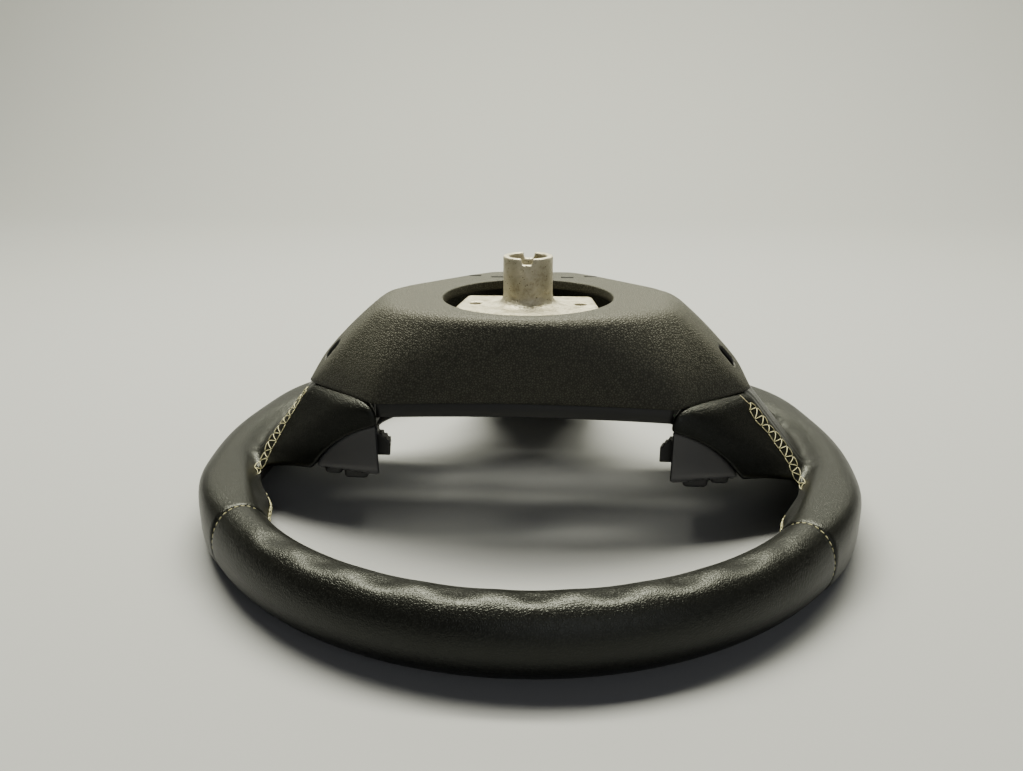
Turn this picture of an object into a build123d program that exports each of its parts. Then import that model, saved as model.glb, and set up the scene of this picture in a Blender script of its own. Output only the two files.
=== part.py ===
from build123d import *
from math import cos, sin, sqrt, radians, pi
import os

# Car steering wheel without its airbag module, lying on its front.
# Z points from the driver to the column, 12 o'clock is -Y, and the origin is on the column
# axis at the plane that the rim rests on. All sizes are in mm.

# rim
RIM_DIAMETER = 380.0        # over the leather
RIM_WIDTH = 29.0            # section across the rim
RIM_DEPTH = 37.5            # section along the column axis
TOP_SEAM_ANGLE = 51.75      # cross seam, degrees from 12 o'clock
LOWER_SEAM_ANGLE = 50.0     # cross seam, degrees from 6 o'clock
SEAM_GAP = 0.4              # groove where two leather panels are sewn
FINGER_PITCH = 10.4         # degrees from one finger swell to the next
FINGER_SWELLS = 9
FINGER_DEPTH = 1.4          # swell above hollow, on the back of the rim
THUMB_SWELL = 5.0           # inward swell of the rim beside each side spoke
THUMB_ANGLE = 29.0          # its middle, degrees from the spoke's centre line
THUMB_SPREAD = 11.0

# armature casting
CORE_WIDTH = 12.0           # ring bar inside the rim
CORE_DEPTH = 14.0
FOAM_FIT = 0.3              # between the casting and the padding round it
BOSS_DIAMETER = 28.4
BOSS_TOP = 144.2
BOSS_FLARE = 5.0            # flare at its foot
BOSS_BORE = 21.6            # plain entry for the column
BOSS_BORE_DEPTH = 18.0
SPLINE_DIAMETER = 17.0      # over the tips of the teeth
SPLINE_DEPTH = 1.2
SPLINE_TEETH = 30
NOTCH_WIDTH = 6.4
NOTCH_DEPTH = 3.6
HUB_BOLT_HOLE = 12.5
HUB_TOP = 116.3             # face that the boss stands on
HUB_PLATE = 7.0             # its thickness
HUB_WALL = 6.0              # skirt under the plate
HUB_HALF_WIDTH = 38.5       # at its 6 o'clock edge
HUB_WAIST = (42.0, -10.0)   # widest place
HUB_LOWER_REACH = 20.0      # towards 6 o'clock
HUB_UPPER_REACH = 38.0      # towards 12 o'clock
HUB_UPPER_HALF = 27.0
HUB_CORNER = 5.0
PULLER_HOLE = 7.0
PULLER_SPACING = 61.0
ARM_LEVEL = 98.0            # middle of the arms where they leave the hub
ARM_THICKNESS = 8.0
ARM_WIDTH = 26.0
ARM_OFFSET = 6.0            # side arms lie this much towards 6 o'clock
ARM_COVER_GAP = 3.0
ARM_FOOT_RISE = 11.2        # last bend of an arm, behind the rim's middle

# rear cover
COVER_TOP = 121.0
COVER_BASE = 73.0           # edge that meets the spokes
COVER_WALL = 2.6
COVER_CREASE = 4.0          # rounding round the top face
COVER_BULGE = 3.5           # outward swell of the walls at mid height
COVER_CORNER = 9.0          # rounding of the corners in plan
COVER_SPLIT = 0.4           # gap to the leather
COVER_TOP_BOW = 22.0        # bow of the top face's 12 o'clock edge
COVER_TOP_NEAR = 35.0       # where that bow ends
COVER_TOP_NEAR_HALF = 70.0
COVER_TOP_HALF_WIDTH = 84.0
COVER_TOP_SIDE_NEAR = 20.0
COVER_TOP_SIDE_FAR = 17.0
COVER_TOP_SHOULDER = (76.0, 31.0)
COVER_TOP_HIP = (44.0, 66.0)
COVER_TOP_FAR = 80.0
COVER_TOP_FAR_HALF = 27.0
COVER_BASE_NEAR = 57.0
COVER_BASE_BOW = 1.0
COVER_BASE_NEAR_HALF = 81.0
COVER_BASE_HALF_WIDTH = 127.0
COVER_BASE_SIDE_NEAR = 20.0
COVER_BASE_SIDE_FAR = 26.0
COVER_BASE_SHOULDER = (88.0, 50.0)
COVER_BASE_HIP = (50.0, 86.0)
COVER_BASE_FAR = 126.0
COVER_BASE_FAR_HALF = 30.0
COVER_HOLE = 98.0
COVER_COLLAR = 5.5          # height of the collar round the hole
LIP_HEIGHT = 9.0            # lip under the 12 o'clock edge
LIP_INSET = 2.2
LIP_SHORT = 2.0             # lip ends before the corners
SLOT_LENGTH = 8.0
SLOT_WIDTH = 4.5
SLOT_PLACES = [(22.7, 57.0), (37.8, 61.2)]
ACCESS_LENGTH = 15.0
ACCESS_WIDTH = 8.5
ACCESS_LEVEL = 91.0
ACCESS_NEAR = 13.0          # towards 12 o'clock from the wheel's middle
SCREW_BOSS = 10.0
SCREW_SHANK = 4.0
SCREW_HEAD = 8.5
SCREW_HEAD_HEIGHT = 3.0
SCREW_GRIP = 9.0            # depth of a screw in its boss
SCREW_FIT = 0.4             # hole over the shank
SIDE_SCREW_REACH = 63.0
LOWER_SCREW_REACH = 63.0

# spokes
WELL_RADIUS = 98.2          # round well for the airbag module
SPOKE_INNER = 82.0          # innermost place of the side spokes
SPOKE_NEAR = 55.0           # 12 o'clock side of the side spokes
SPOKE_FAR = 44.0
SPOKE_RIM_NEAR = 47.0       # where the stitched edge meets the rim
SPOKE_RIM_FAR = 46.0
SPOKE_RIM_INSET = 9.0       # that place, inside the rim's inner edge
SPOKE_RIM_RISE = 3.0        # and behind the rim's middle
SPOKE_BACK_RISE = 13.5      # back face at the rim's inner edge, behind the rim's middle
SPOKE_ARCH = 9.0            # run of the arched front edge next to the rim
SPOKE_ARCH_RISE = 2.0
SPOKE_EDGE = 1.6            # depth taken off the leather edges
LOWER_SPOKE_INNER = 88.0
LOWER_SPOKE_HALF = 46.0
LOWER_SPOKE_RIM_HALF = 46.0

# switch pods
POD_LENGTH = 37.0           # from the airbag well outwards
POD_HEIGHT = 28.5
POD_FRONT = 30.5
POD_NEAR = 54.0
POD_FAR = 40.0
POD_SLANT = 0.2             # their 12 o'clock side falls back towards the rim
POD_WALL = 2.0
POD_ARCH = 64.0             # radius of their arched back
POD_EDGE = 2.5
POD_GAP = 0.4               # to the leather
POD_FIT = 0.3               # between the pieces inside it
BUTTONS = {                 # middle outwards, middle towards 6 o'clock, width, length, height over the face
    "inner": (95.0, -35.5, 14.0, 17.0, 5.0),
    "outer": (107.8, -35.5, 8.4, 17.0, 2.8),
    "lower": (104.5, -15.0, 15.0, 18.0, 3.2),
}
BUTTON_EDGE = 1.2
BUTTON_FIT = 0.35
BUTTON_FLANGE = 0.8
BUTTON_WELL_GAP = 2.4       # between a button and the airbag well
BUTTON_FLANGE_DEPTH = 1.5
BUTTON_TRAVEL = 1.0
BUTTON_SPARE = 0.4          # left between a pressed button and the mat
MAT_THICKNESS = 1.2
BOARD_THICKNESS = 1.6
HOUSING_WALL = 1.8
SOCKET_FACE = 72.0          # plug side of the cable socket
SOCKET_NEAR = 48.0
SOCKET_LENGTH = 22.0
SOCKET_LOW = 41.5
SOCKET_STEPS = [(0.0, 52.5), (3.5, 54.8), (8.0, 58.0)]      # set back, top
SOCKET_MOUTH = 8.0          # depth of the mouth
SOCKET_WALL = 1.5
TAB_WIDTH = 14.0
TAB_THICKNESS = 2.5
TAB_MIDDLE = 6.0
TAB_LEVEL = 76.0
TAB_PLACE = 97.0            # outer face of the tab
TAB_REACH = 28.0
SWITCH_SCREW = 74.25        # distance of its screw from the middle
PILLAR = 10.0

# lower trim
TRIM_HALF = 36.0
TRIM_LENGTH = 31.0

# airbag springs
WIRE = 2.5
WIRE_GAP = 0.5
SPRING_CLEAR = 4.6          # over the leather
SPRING_NEAR = 25.0
SPRING_START = 2.0          # first run of the wire, past the bend of the arm

top_direction = -90         # polar angle of 12 o'clock
rim_radius = (RIM_DIAMETER - RIM_WIDTH) / 2
rim_mid = RIM_DEPTH / 2
rim_inner = rim_radius - RIM_WIDTH / 2
leather_level = COVER_BASE - COVER_SPLIT
arm_top = ARM_LEVEL + ARM_THICKNESS / 2
arm_bottom = ARM_LEVEL - ARM_THICKNESS / 2
cover_ceiling = COVER_TOP - COVER_WALL
screw_places = [(SIDE_SCREW_REACH, ARM_OFFSET), (-SIDE_SCREW_REACH, ARM_OFFSET), (0, LOWER_SCREW_REACH)]
flange_bottom = POD_FRONT + POD_WALL
flange_top = flange_bottom + BUTTON_FLANGE_DEPTH
mat_level = flange_top + BUTTON_TRAVEL + BUTTON_SPARE
board_level = mat_level + MAT_THICKNESS
housing_level = board_level + BOARD_THICKNESS


def left_of(shape):
    return mirror(shape, about=Plane.YZ)


# what is built along +X is turned to lie along +Y
def to_lower_spoke(shape):
    return Rot(0, 0, 90) * shape


# a profile of (outwards, height) points, drawn out along Y
def drawn_out(points, start, end):
    face = make_face(Polyline(*[(u, start, z) for u, z in points], close=True))
    return extrude(face, amount=end - start, dir=(0, 1, 0))


def post(x, y, diameter, low, high):
    return Pos(x, y, low) * extrude(Circle(diameter / 2), high - low)


# closed outline of a bar of even thickness that follows the points
def thick_path(points, thickness):
    left = []
    right = []
    for i, (u, z) in enumerate(points):
        steps = []
        for a, b in zip(points[max(i - 1, 0):i + 1], points[max(i, 1):i + 2]):
            length = sqrt((b[0] - a[0]) ** 2 + (b[1] - a[1]) ** 2)
            steps.append(((b[0] - a[0]) / length, (b[1] - a[1]) / length))
        d1 = steps[0]
        d2 = steps[-1]
        share = thickness / 2 / (1 + d1[0] * d2[0] + d1[1] * d2[1])
        side = (-(d1[1] + d2[1]) * share, (d1[0] + d2[0]) * share)
        left.append((u + side[0], z + side[1]))
        right.append((u - side[0], z - side[1]))
    return left + right[::-1]


# outward direction of the cover's sloping flank, as (outwards, up)
def flank_normal(top_reach, base_reach):
    run = base_reach - top_reach
    drop = COVER_TOP - COVER_BASE
    length = sqrt(run ** 2 + drop ** 2)
    return drop / length, run / length


# middle line of an arm: level from the hub, down inside the cover's flank, into the rim
def arm_path(start, top_reach, base_reach):
    nu, nz = flank_normal(top_reach, base_reach)
    depth = COVER_WALL + ARM_COVER_GAP + ARM_THICKNESS / 2
    flank = nu * top_reach + nz * COVER_TOP - depth
    low = rim_mid + ARM_FOOT_RISE
    bend = ((flank - nz * ARM_LEVEL) / nu, ARM_LEVEL)
    foot = ((flank - nz * low) / nu, low)
    return [(start, ARM_LEVEL), bend, foot, (rim_radius, rim_mid)]


side_path = arm_path(HUB_HALF_WIDTH - HUB_WALL / 2, COVER_TOP_HALF_WIDTH, COVER_BASE_HALF_WIDTH)
lower_path = arm_path(HUB_LOWER_REACH - HUB_WALL / 2, COVER_TOP_FAR, COVER_BASE_FAR)


def side_arm(spare):
    half = ARM_WIDTH / 2 + spare
    return drawn_out(thick_path(side_path, ARM_THICKNESS + 2 * spare), ARM_OFFSET - half, ARM_OFFSET + half)


def lower_arm(spare):
    half = ARM_WIDTH / 2 + spare
    return to_lower_spoke(drawn_out(thick_path(lower_path, ARM_THICKNESS + 2 * spare), -half, half))


def core_ring(spare):
    bar = Rectangle(CORE_WIDTH + 2 * spare, CORE_DEPTH + 2 * spare)
    return revolve(Plane.XZ * Pos(rim_radius, rim_mid) * bar, Axis.Z, 360)


def spline_outline():
    tip = SPLINE_DIAMETER / 2
    root = tip + SPLINE_DEPTH
    points = []
    for i in range(SPLINE_TEETH):
        for share, radius in ((0.0, tip), (0.5, root)):
            angle = 2 * pi * (i + share) / SPLINE_TEETH
            points.append((radius * cos(angle), radius * sin(angle)))
    return make_face(Polyline(*points, close=True))


def hub_outline():
    right = [(HUB_HALF_WIDTH, HUB_LOWER_REACH), HUB_WAIST, (HUB_UPPER_HALF, -HUB_UPPER_REACH)]
    face = make_face(Polyline(*right, *[(-x, y) for x, y in right[::-1]], close=True))
    return fillet(face.vertices(), HUB_CORNER)


# cast flare at the foot of the boss, in two steps
def boss_flare():
    foot = BOSS_DIAMETER / 2
    middle = BOSS_FLARE * (1 - sqrt(0.5))
    inside = foot - BOSS_FLARE / 2
    profile = [(inside, HUB_TOP), (foot + BOSS_FLARE, HUB_TOP), (foot + middle, HUB_TOP + middle),
               (foot, HUB_TOP + BOSS_FLARE), (inside, HUB_TOP + BOSS_FLARE)]
    return revolve(make_face(Polyline(*[(r, 0, z) for r, z in profile], close=True)), Axis.Z, 360)


def armature():
    plan = hub_outline()
    hub = Pos(0, 0, arm_bottom) * extrude(plan, HUB_TOP - arm_bottom)
    hub += post(0, 0, BOSS_DIAMETER, HUB_TOP, BOSS_TOP)
    hub += boss_flare()
    hollow = extrude(offset(plan, amount=-HUB_WALL), HUB_TOP - HUB_PLATE - arm_bottom)
    hub -= Pos(0, 0, arm_bottom) * hollow
    casting = hub + side_arm(0) + left_of(side_arm(0)) + lower_arm(0) + core_ring(0)
    for side in (1, -1):
        casting += post(side * SWITCH_SCREW, TAB_MIDDLE, PILLAR, TAB_LEVEL, ARM_LEVEL)
        casting -= post(side * SWITCH_SCREW, TAB_MIDDLE, SCREW_SHANK, TAB_LEVEL, TAB_LEVEL + SCREW_GRIP + 1)
        casting -= post(side * PULLER_SPACING / 2, 0, PULLER_HOLE, HUB_TOP - HUB_PLATE, HUB_TOP)
    bore_floor = BOSS_TOP - BOSS_BORE_DEPTH
    spline_floor = HUB_TOP - HUB_PLATE / 2
    casting -= post(0, 0, BOSS_BORE, bore_floor, BOSS_TOP)
    casting -= Pos(0, 0, spline_floor) * extrude(spline_outline(), bore_floor - spline_floor)
    casting -= post(0, 0, HUB_BOLT_HOLE, HUB_TOP - HUB_PLATE, HUB_TOP)
    notch = Box(NOTCH_WIDTH, 2 * BOSS_DIAMETER, NOTCH_DEPTH, align=(Align.CENTER, Align.CENTER, Align.MAX))
    casting -= Pos(0, 0, BOSS_TOP) * notch
    for x, y in screw_places:
        casting -= post(x, y, SCREW_SHANK + SCREW_FIT, arm_bottom, arm_top)
    return casting


# closed outline at one height: a bowed 12 o'clock edge, then the right half's corners mirrored
def cover_outline(right, bow, level, corner):
    left = [(-x, y) for x, y in right[::-1]]
    x0, y0 = right[0]
    near = ThreePointArc((-x0, y0), (0, y0 - bow), (x0, y0))
    face = make_face(near + Polyline(*right, *left))
    if corner > 0:
        face = fillet(face.vertices(), corner)
    return Pos(0, 0, level) * face


def cover_outlines(corner):
    top = [(COVER_TOP_NEAR_HALF, -COVER_TOP_NEAR), (COVER_TOP_HALF_WIDTH, -COVER_TOP_SIDE_NEAR),
           (COVER_TOP_HALF_WIDTH, COVER_TOP_SIDE_FAR), COVER_TOP_SHOULDER, COVER_TOP_HIP,
           (COVER_TOP_FAR_HALF, COVER_TOP_FAR)]
    base = [(COVER_BASE_NEAR_HALF, -COVER_BASE_NEAR), (COVER_BASE_HALF_WIDTH, -COVER_BASE_SIDE_NEAR),
            (COVER_BASE_HALF_WIDTH, COVER_BASE_SIDE_FAR), COVER_BASE_SHOULDER, COVER_BASE_HIP,
            (COVER_BASE_FAR_HALF, COVER_BASE_FAR)]
    middle = [((a[0] + b[0]) / 2, (a[1] + b[1]) / 2) for a, b in zip(top, base)]
    bow = (COVER_TOP_BOW + COVER_BASE_BOW) / 2
    waist = cover_outline(middle, bow, (COVER_TOP + COVER_BASE) / 2, corner)
    return [cover_outline(base, COVER_BASE_BOW, COVER_BASE, corner),
            offset(waist, amount=COVER_BULGE, kind=Kind.INTERSECTION),
            cover_outline(top, COVER_TOP_BOW, COVER_TOP, corner)]


# the top face's edge is rounded in two steps
def crease_outlines(top):
    steps = []
    for i in range(3):
        turn = pi / 4 * i
        inset = COVER_CREASE * (0.6 - cos(turn))
        steps.append(Pos(0, 0, COVER_CREASE * (sin(turn) - 1)) * offset(top, amount=-inset))
    return steps


# slot-shaped cutter through the flank, for reaching an airbag spring
def access_cutter():
    nu, nz = flank_normal(COVER_TOP_HALF_WIDTH, COVER_BASE_HALF_WIDTH)
    reach = COVER_TOP_HALF_WIDTH + (COVER_TOP - ACCESS_LEVEL) * nz / nu
    plane = Plane(origin=(reach, -ACCESS_NEAR, ACCESS_LEVEL), x_dir=(nz, 0, -nu), z_dir=(nu, 0, nz))
    return extrude(plane * SlotOverall(ACCESS_LENGTH, ACCESS_WIDTH), 3 * COVER_WALL, both=True)


def rear_cover():
    base, waist, top = cover_outlines(COVER_CORNER)
    outer = loft([base, waist] + crease_outlines(top), ruled=True)
    rooms = [offset(face, amount=-COVER_WALL) for face in cover_outlines(0)]
    rooms[-1] = Pos(0, 0, -COVER_WALL) * rooms[-1]
    cover = outer - loft(rooms, ruled=True)
    cover += post(0, 0, COVER_HOLE + 2 * COVER_WALL, COVER_TOP - COVER_COLLAR, COVER_TOP)
    cover -= post(0, 0, COVER_HOLE, COVER_TOP - COVER_COLLAR, COVER_TOP)
    lip = Box(2 * (COVER_BASE_NEAR_HALF - LIP_SHORT), COVER_WALL, LIP_HEIGHT + COVER_CORNER,
              align=(Align.CENTER, Align.MIN, Align.MIN))
    cover += Pos(0, LIP_INSET - COVER_BASE_NEAR, COVER_BASE - LIP_HEIGHT) * lip
    for x, y in screw_places:
        cover += post(x, y, SCREW_BOSS, arm_top, cover_ceiling + COVER_WALL / 2)
        cover -= post(x, y, SCREW_SHANK, arm_top, arm_top + SCREW_GRIP + 1)
    for x, y in SLOT_PLACES:
        slot = Box(SLOT_LENGTH, SLOT_WIDTH, 6 * COVER_WALL)
        cover -= Pos(x, y, COVER_TOP) * slot
        cover -= Pos(-x, y, COVER_TOP) * slot
    cutter = access_cutter()
    return cover - cutter - left_of(cutter)


# screw driven in along +Z; its head lies under the given level
def screw(x, y, seat, grip_end):
    return post(x, y, SCREW_HEAD, seat - SCREW_HEAD_HEIGHT, seat) + post(x, y, SCREW_SHANK, seat, grip_end)


def cover_screws():
    return Compound([screw(x, y, arm_bottom, arm_top + SCREW_GRIP).solid() for x, y in screw_places])


def switch_screws():
    seat = TAB_LEVEL - TAB_THICKNESS
    ends = TAB_LEVEL + SCREW_GRIP
    return Compound([screw(x, TAB_MIDDLE, seat, ends).solid() for x in (SWITCH_SCREW, -SWITCH_SCREW)])


# section of the rim at a polar angle; depth is measured from the plane it rests on
def rim_section(angle, depth, swell):
    a = radians(angle)
    plane = Plane(origin=(0, 0, 0), x_dir=(cos(a), sin(a), 0), z_dir=(sin(a), -cos(a), 0))
    half = (RIM_WIDTH + swell) / 2
    return plane * Pos(rim_radius - swell / 2, depth / 2) * Ellipse(half, depth / 2)


def seam_half_angle():
    return SEAM_GAP / 2 / rim_radius * 180 / pi


def leather_top():
    edge = TOP_SEAM_ANGLE - seam_half_angle()
    waves = FINGER_PITCH * (FINGER_SWELLS - 1) / 2
    steps = round(8 * edge / FINGER_PITCH)
    sections = []
    for i in range(steps + 1):
        place = -edge + 2 * edge * i / steps
        hollow = FINGER_DEPTH * (1 - cos(2 * pi * place / FINGER_PITCH)) / 2 if abs(place) < waves else 0
        sections.append(rim_section(top_direction + place, RIM_DEPTH - hollow, 0))
    return loft(sections) - core_ring(FOAM_FIT)


# edge between two faces of a block taken off, at a point on the edge
def eased(block, point, first, second):
    outward = (first.normalized() + second.normalized()).normalized()
    return split(block, bisect_by=Plane(origin=point - outward * SPOKE_EDGE, z_dir=outward), keep=Keep.BOTTOM)


# padded block of a spoke, built along +X; each side is (corner at the cover's flank,
# shoulder of the cover, place at the rim, outermost)
def spoke_block(inner, base_reach, sides):
    low = rim_mid + SPOKE_RIM_RISE
    foot = rim_inner - SPOKE_RIM_INSET
    back = rim_mid + SPOKE_BACK_RISE
    profile = [(inner, POD_FRONT), (inner, leather_level), (base_reach, leather_level), (rim_inner, back),
               (rim_radius, rim_mid), (foot, low), (foot - SPOKE_ARCH, POD_FRONT),
               (foot - 2 * SPOKE_ARCH, POD_FRONT + SPOKE_ARCH_RISE)]
    limits = [side[3] for side in sides]
    block = drawn_out(profile, -limits[0], limits[1])
    flank = Vector(leather_level - back, 0, rim_inner - base_reach)
    for sign, (corner, shoulder, rim_side, limit) in zip((-1, 1), sides):
        d = Vector(base_reach, sign * corner, leather_level)
        e = Vector(shoulder[0], sign * shoulder[1], leather_level)
        k = Vector(foot, sign * rim_side, low)
        outward = (e - d).cross(k - d)
        if outward.Y * sign < 0:
            outward = outward * -1
        block = split(block, bisect_by=Plane(origin=d, z_dir=outward), keep=Keep.BOTTOM)
        block = eased(block, d, outward, flank)
        block = eased(block, d, outward, Vector(0, 0, 1))
    return block


# round well of the airbag module, widened by the spare
def airbag_well(spare, high):
    return post(0, 0, 2 * (WELL_RADIUS + spare), 0, high)


# bar along Y with an arched back, its flat face to the driver; the back grows or shrinks by the offset
def arched_bar(inner, length, outside, near, far):
    chord = sqrt(length ** 2 + POD_HEIGHT ** 2)
    across = (POD_HEIGHT / chord, length / chord)
    below = sqrt(POD_ARCH ** 2 - chord ** 2 / 4)
    centre_u = inner + length / 2 - below * across[0]
    centre_z = POD_FRONT + POD_HEIGHT / 2 - below * across[1]
    radius = POD_ARCH + outside
    face_end = centre_u + sqrt(radius ** 2 - (POD_FRONT - centre_z) ** 2)
    top = centre_z + sqrt(radius ** 2 - (inner - centre_u) ** 2)
    crown = (centre_u + radius * across[0], centre_z + radius * across[1])
    back = ThreePointArc((face_end, POD_FRONT), crown, (inner, top))
    ends = Polyline((inner, top), (inner, POD_FRONT), (face_end, POD_FRONT))
    bar = extrude(Plane.XZ * make_face(back + ends), near + far, dir=(0, 1, 0))
    return Pos(0, -near, 0) * bar


# bar of a side pod, shrunk by the inset; its 12 o'clock side is on a slant
def pod_bar(inset):
    bar = arched_bar(SPOKE_INNER, POD_LENGTH, -inset, POD_NEAR - inset, POD_FAR - inset)
    slant = Plane(origin=(SPOKE_INNER, inset - POD_NEAR, POD_FRONT), z_dir=(-POD_SLANT, 1, 0))
    return split(bar, bisect_by=slant, keep=Keep.TOP)


def leather_right():
    start = top_direction + TOP_SEAM_ANGLE + seam_half_angle()
    end = -top_direction - LOWER_SEAM_ANGLE - seam_half_angle()
    inside = THUMB_ANGLE - THUMB_SPREAD
    swells = [(start, 0), (-THUMB_ANGLE, THUMB_SWELL), (-inside, 0), (0, 0),
              (inside, 0), (THUMB_ANGLE, THUMB_SWELL), (end, 0)]
    sections = [rim_section(angle, RIM_DEPTH, swell) for angle, swell in swells]
    sides = [(COVER_BASE_SIDE_NEAR, (COVER_BASE_NEAR_HALF, COVER_BASE_NEAR), SPOKE_RIM_NEAR, SPOKE_NEAR),
             (COVER_BASE_SIDE_FAR, COVER_BASE_SHOULDER, SPOKE_RIM_FAR, SPOKE_FAR)]
    panel = loft(sections) + spoke_block(SPOKE_INNER, COVER_BASE_HALF_WIDTH, sides)
    panel -= arched_bar(SPOKE_INNER, POD_LENGTH, POD_GAP, 2 * SPOKE_NEAR, 2 * SPOKE_FAR)
    return panel - airbag_well(0, COVER_BASE) - side_arm(FOAM_FIT) - core_ring(FOAM_FIT)


def leather_bottom():
    edge = LOWER_SEAM_ANGLE - seam_half_angle()
    arc = revolve(rim_section(-top_direction - edge, RIM_DEPTH, 0), Axis.Z, 2 * edge)
    hip = (COVER_BASE_HIP[1], COVER_BASE_HIP[0])
    side = (COVER_BASE_FAR_HALF, hip, LOWER_SPOKE_RIM_HALF, LOWER_SPOKE_HALF)
    block = spoke_block(LOWER_SPOKE_INNER, COVER_BASE_FAR, [side, side])
    block -= arched_bar(LOWER_SPOKE_INNER, TRIM_LENGTH, POD_GAP, 2 * LOWER_SPOKE_HALF, 2 * LOWER_SPOKE_HALF)
    panel = arc + to_lower_spoke(block) - airbag_well(0, COVER_BASE)
    return panel - lower_arm(FOAM_FIT) - core_ring(FOAM_FIT)


# open shell round a bar: its front edges rounded, open to the airbag well
def pod_shell(bar, room):
    front = bar.faces().sort_by(Axis.Z)[0].edges()
    shell = fillet([edge for edge in front if abs((edge % 0.5).X) > 0.5], POD_EDGE)
    room -= Pos(0, 0, POD_FRONT) * Box(RIM_DIAMETER, RIM_DIAMETER, 2 * POD_WALL)
    return shell - room


# block of one button, from its face to the given level; the side next to the airbag well follows it
def button_block(name, low, high, wider):
    place, row, width, length, height = BUTTONS[name]
    block = Box(width + 2 * wider, length + 2 * wider, high - low,
                align=(Align.CENTER, Align.CENTER, Align.MIN))
    return Pos(place, row, low) * block - airbag_well(BUTTON_WELL_GAP - wider, high)


def bezel():
    shell = pod_shell(pod_bar(0), pod_bar(POD_WALL)) - airbag_well(0, COVER_BASE)
    for name in BUTTONS:
        shell -= button_block(name, POD_FRONT - POD_WALL, POD_FRONT + 2 * POD_WALL, BUTTON_FIT)
    return shell


def button(name):
    cap = button_block(name, POD_FRONT - BUTTONS[name][4], flange_bottom, 0)
    cap = chamfer(cap.faces().sort_by(Axis.Z)[0].edges(), BUTTON_EDGE)
    return cap + button_block(name, flange_bottom, flange_top, BUTTON_FLANGE)


# what is inside the pod keeps clear of the shell
def pod_room(low, high):
    slab = Box(RIM_DIAMETER, RIM_DIAMETER, high - low, align=(Align.CENTER, Align.CENTER, Align.MIN))
    return pod_bar(POD_WALL + POD_FIT) & Pos(0, 0, low) * slab


# flat piece under the buttons, as long as the pod's room is at its back
def pod_plate(low, thickness):
    back = pod_room(low + thickness / 2, low + thickness).faces().sort_by(Axis.Z)[-1]
    return extrude(back, amount=thickness, dir=(0, 0, -1)) - airbag_well(POD_FIT, COVER_BASE)


# stepped socket for the switch cable, in the airbag well; a key joins it to the housing
def cable_socket(room):
    socket = None
    for back, top in SOCKET_STEPS:
        step = Box(WELL_RADIUS, SOCKET_LENGTH, top - SOCKET_LOW, align=(Align.MIN, Align.MIN, Align.MIN))
        step = Pos(SOCKET_FACE + back, -SOCKET_NEAR, SOCKET_LOW) * step
        socket = step if socket is None else socket + step
    outside = socket & airbag_well(-POD_FIT, COVER_BASE)
    key = socket & room & airbag_well(HOUSING_WALL / 2, COVER_BASE)
    mouth_height = SOCKET_STEPS[0][1] - SOCKET_LOW - 2 * SOCKET_WALL
    mouth = Box(SOCKET_MOUTH, SOCKET_LENGTH - 2 * SOCKET_WALL, mouth_height,
                align=(Align.MIN, Align.MIN, Align.MIN))
    return outside + key - Pos(SOCKET_FACE, SOCKET_WALL - SOCKET_NEAR, SOCKET_LOW + SOCKET_WALL) * mouth


# bracket that screws the housing to the casting
def housing_bracket():
    tab = Box(TAB_THICKNESS, TAB_WIDTH, TAB_LEVEL - housing_level, align=(Align.MAX, Align.CENTER, Align.MIN))
    foot = Box(2 * TAB_THICKNESS, TAB_WIDTH, HOUSING_WALL * 4, align=(Align.CENTER, Align.CENTER, Align.MIN))
    ear = Box(TAB_REACH, TAB_WIDTH, TAB_THICKNESS, align=(Align.MAX, Align.CENTER, Align.MAX))
    bracket = Pos(TAB_PLACE, TAB_MIDDLE, housing_level) * (tab + Pos(HOUSING_WALL / 2, 0, 0) * foot)
    bracket += Pos(TAB_PLACE, TAB_MIDDLE, TAB_LEVEL) * ear
    hole = post(SWITCH_SCREW, TAB_MIDDLE, SCREW_SHANK + SCREW_FIT, TAB_LEVEL - TAB_THICKNESS, TAB_LEVEL)
    return bracket - hole


def switch_housing():
    room = pod_room(housing_level, POD_FRONT + POD_HEIGHT)
    inside = pod_bar(POD_WALL + POD_FIT + HOUSING_WALL) - airbag_well(HOUSING_WALL, COVER_BASE)
    body = room - airbag_well(0, COVER_BASE) - inside
    return body + cable_socket(room) + housing_bracket()


def lower_trim():
    bar = arched_bar(LOWER_SPOKE_INNER, TRIM_LENGTH, 0, TRIM_HALF, TRIM_HALF)
    half = TRIM_HALF - POD_WALL
    room = arched_bar(LOWER_SPOKE_INNER, TRIM_LENGTH, -POD_WALL, half, half)
    return to_lower_spoke(pod_shell(bar, room) - airbag_well(0, COVER_BASE))


# wire hairpin that hooks round the arm and reaches past it to the access hole
def airbag_spring():
    nu, nz = flank_normal(COVER_TOP_HALF_WIDTH, COVER_BASE_HALF_WIDTH)
    bend_u, bend_z = side_path[1]
    below = ARM_THICKNESS / 2 + WIRE / 2 + WIRE_GAP
    beside = ARM_WIDTH / 2 + WIRE / 2 + WIRE_GAP

    def at(along, y, up):
        return Vector(bend_u + along * nz + up * nu, y, bend_z - along * nu + up * nz)

    level = leather_level + SPRING_CLEAR + WIRE / 2
    lower = (bend_z - level - below * nz) / nu
    upper = below * nu / (1 + nz) + WIRE / 2 + SPRING_START
    far = ARM_OFFSET + beside
    near = ARM_OFFSET - beside
    hook = ARM_THICKNESS / 2
    corners = [at(upper, far, hook), at(upper, far, -below), at(upper, -SPRING_NEAR, -below),
               at(lower, -SPRING_NEAR, -below), at(lower, near, -below), at(lower, near, hook)]
    path = Polyline(*corners)
    return sweep((path ^ 0) * RegularPolygon(WIRE / 2, 8), path=path, transition=Transition.RIGHT)


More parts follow.
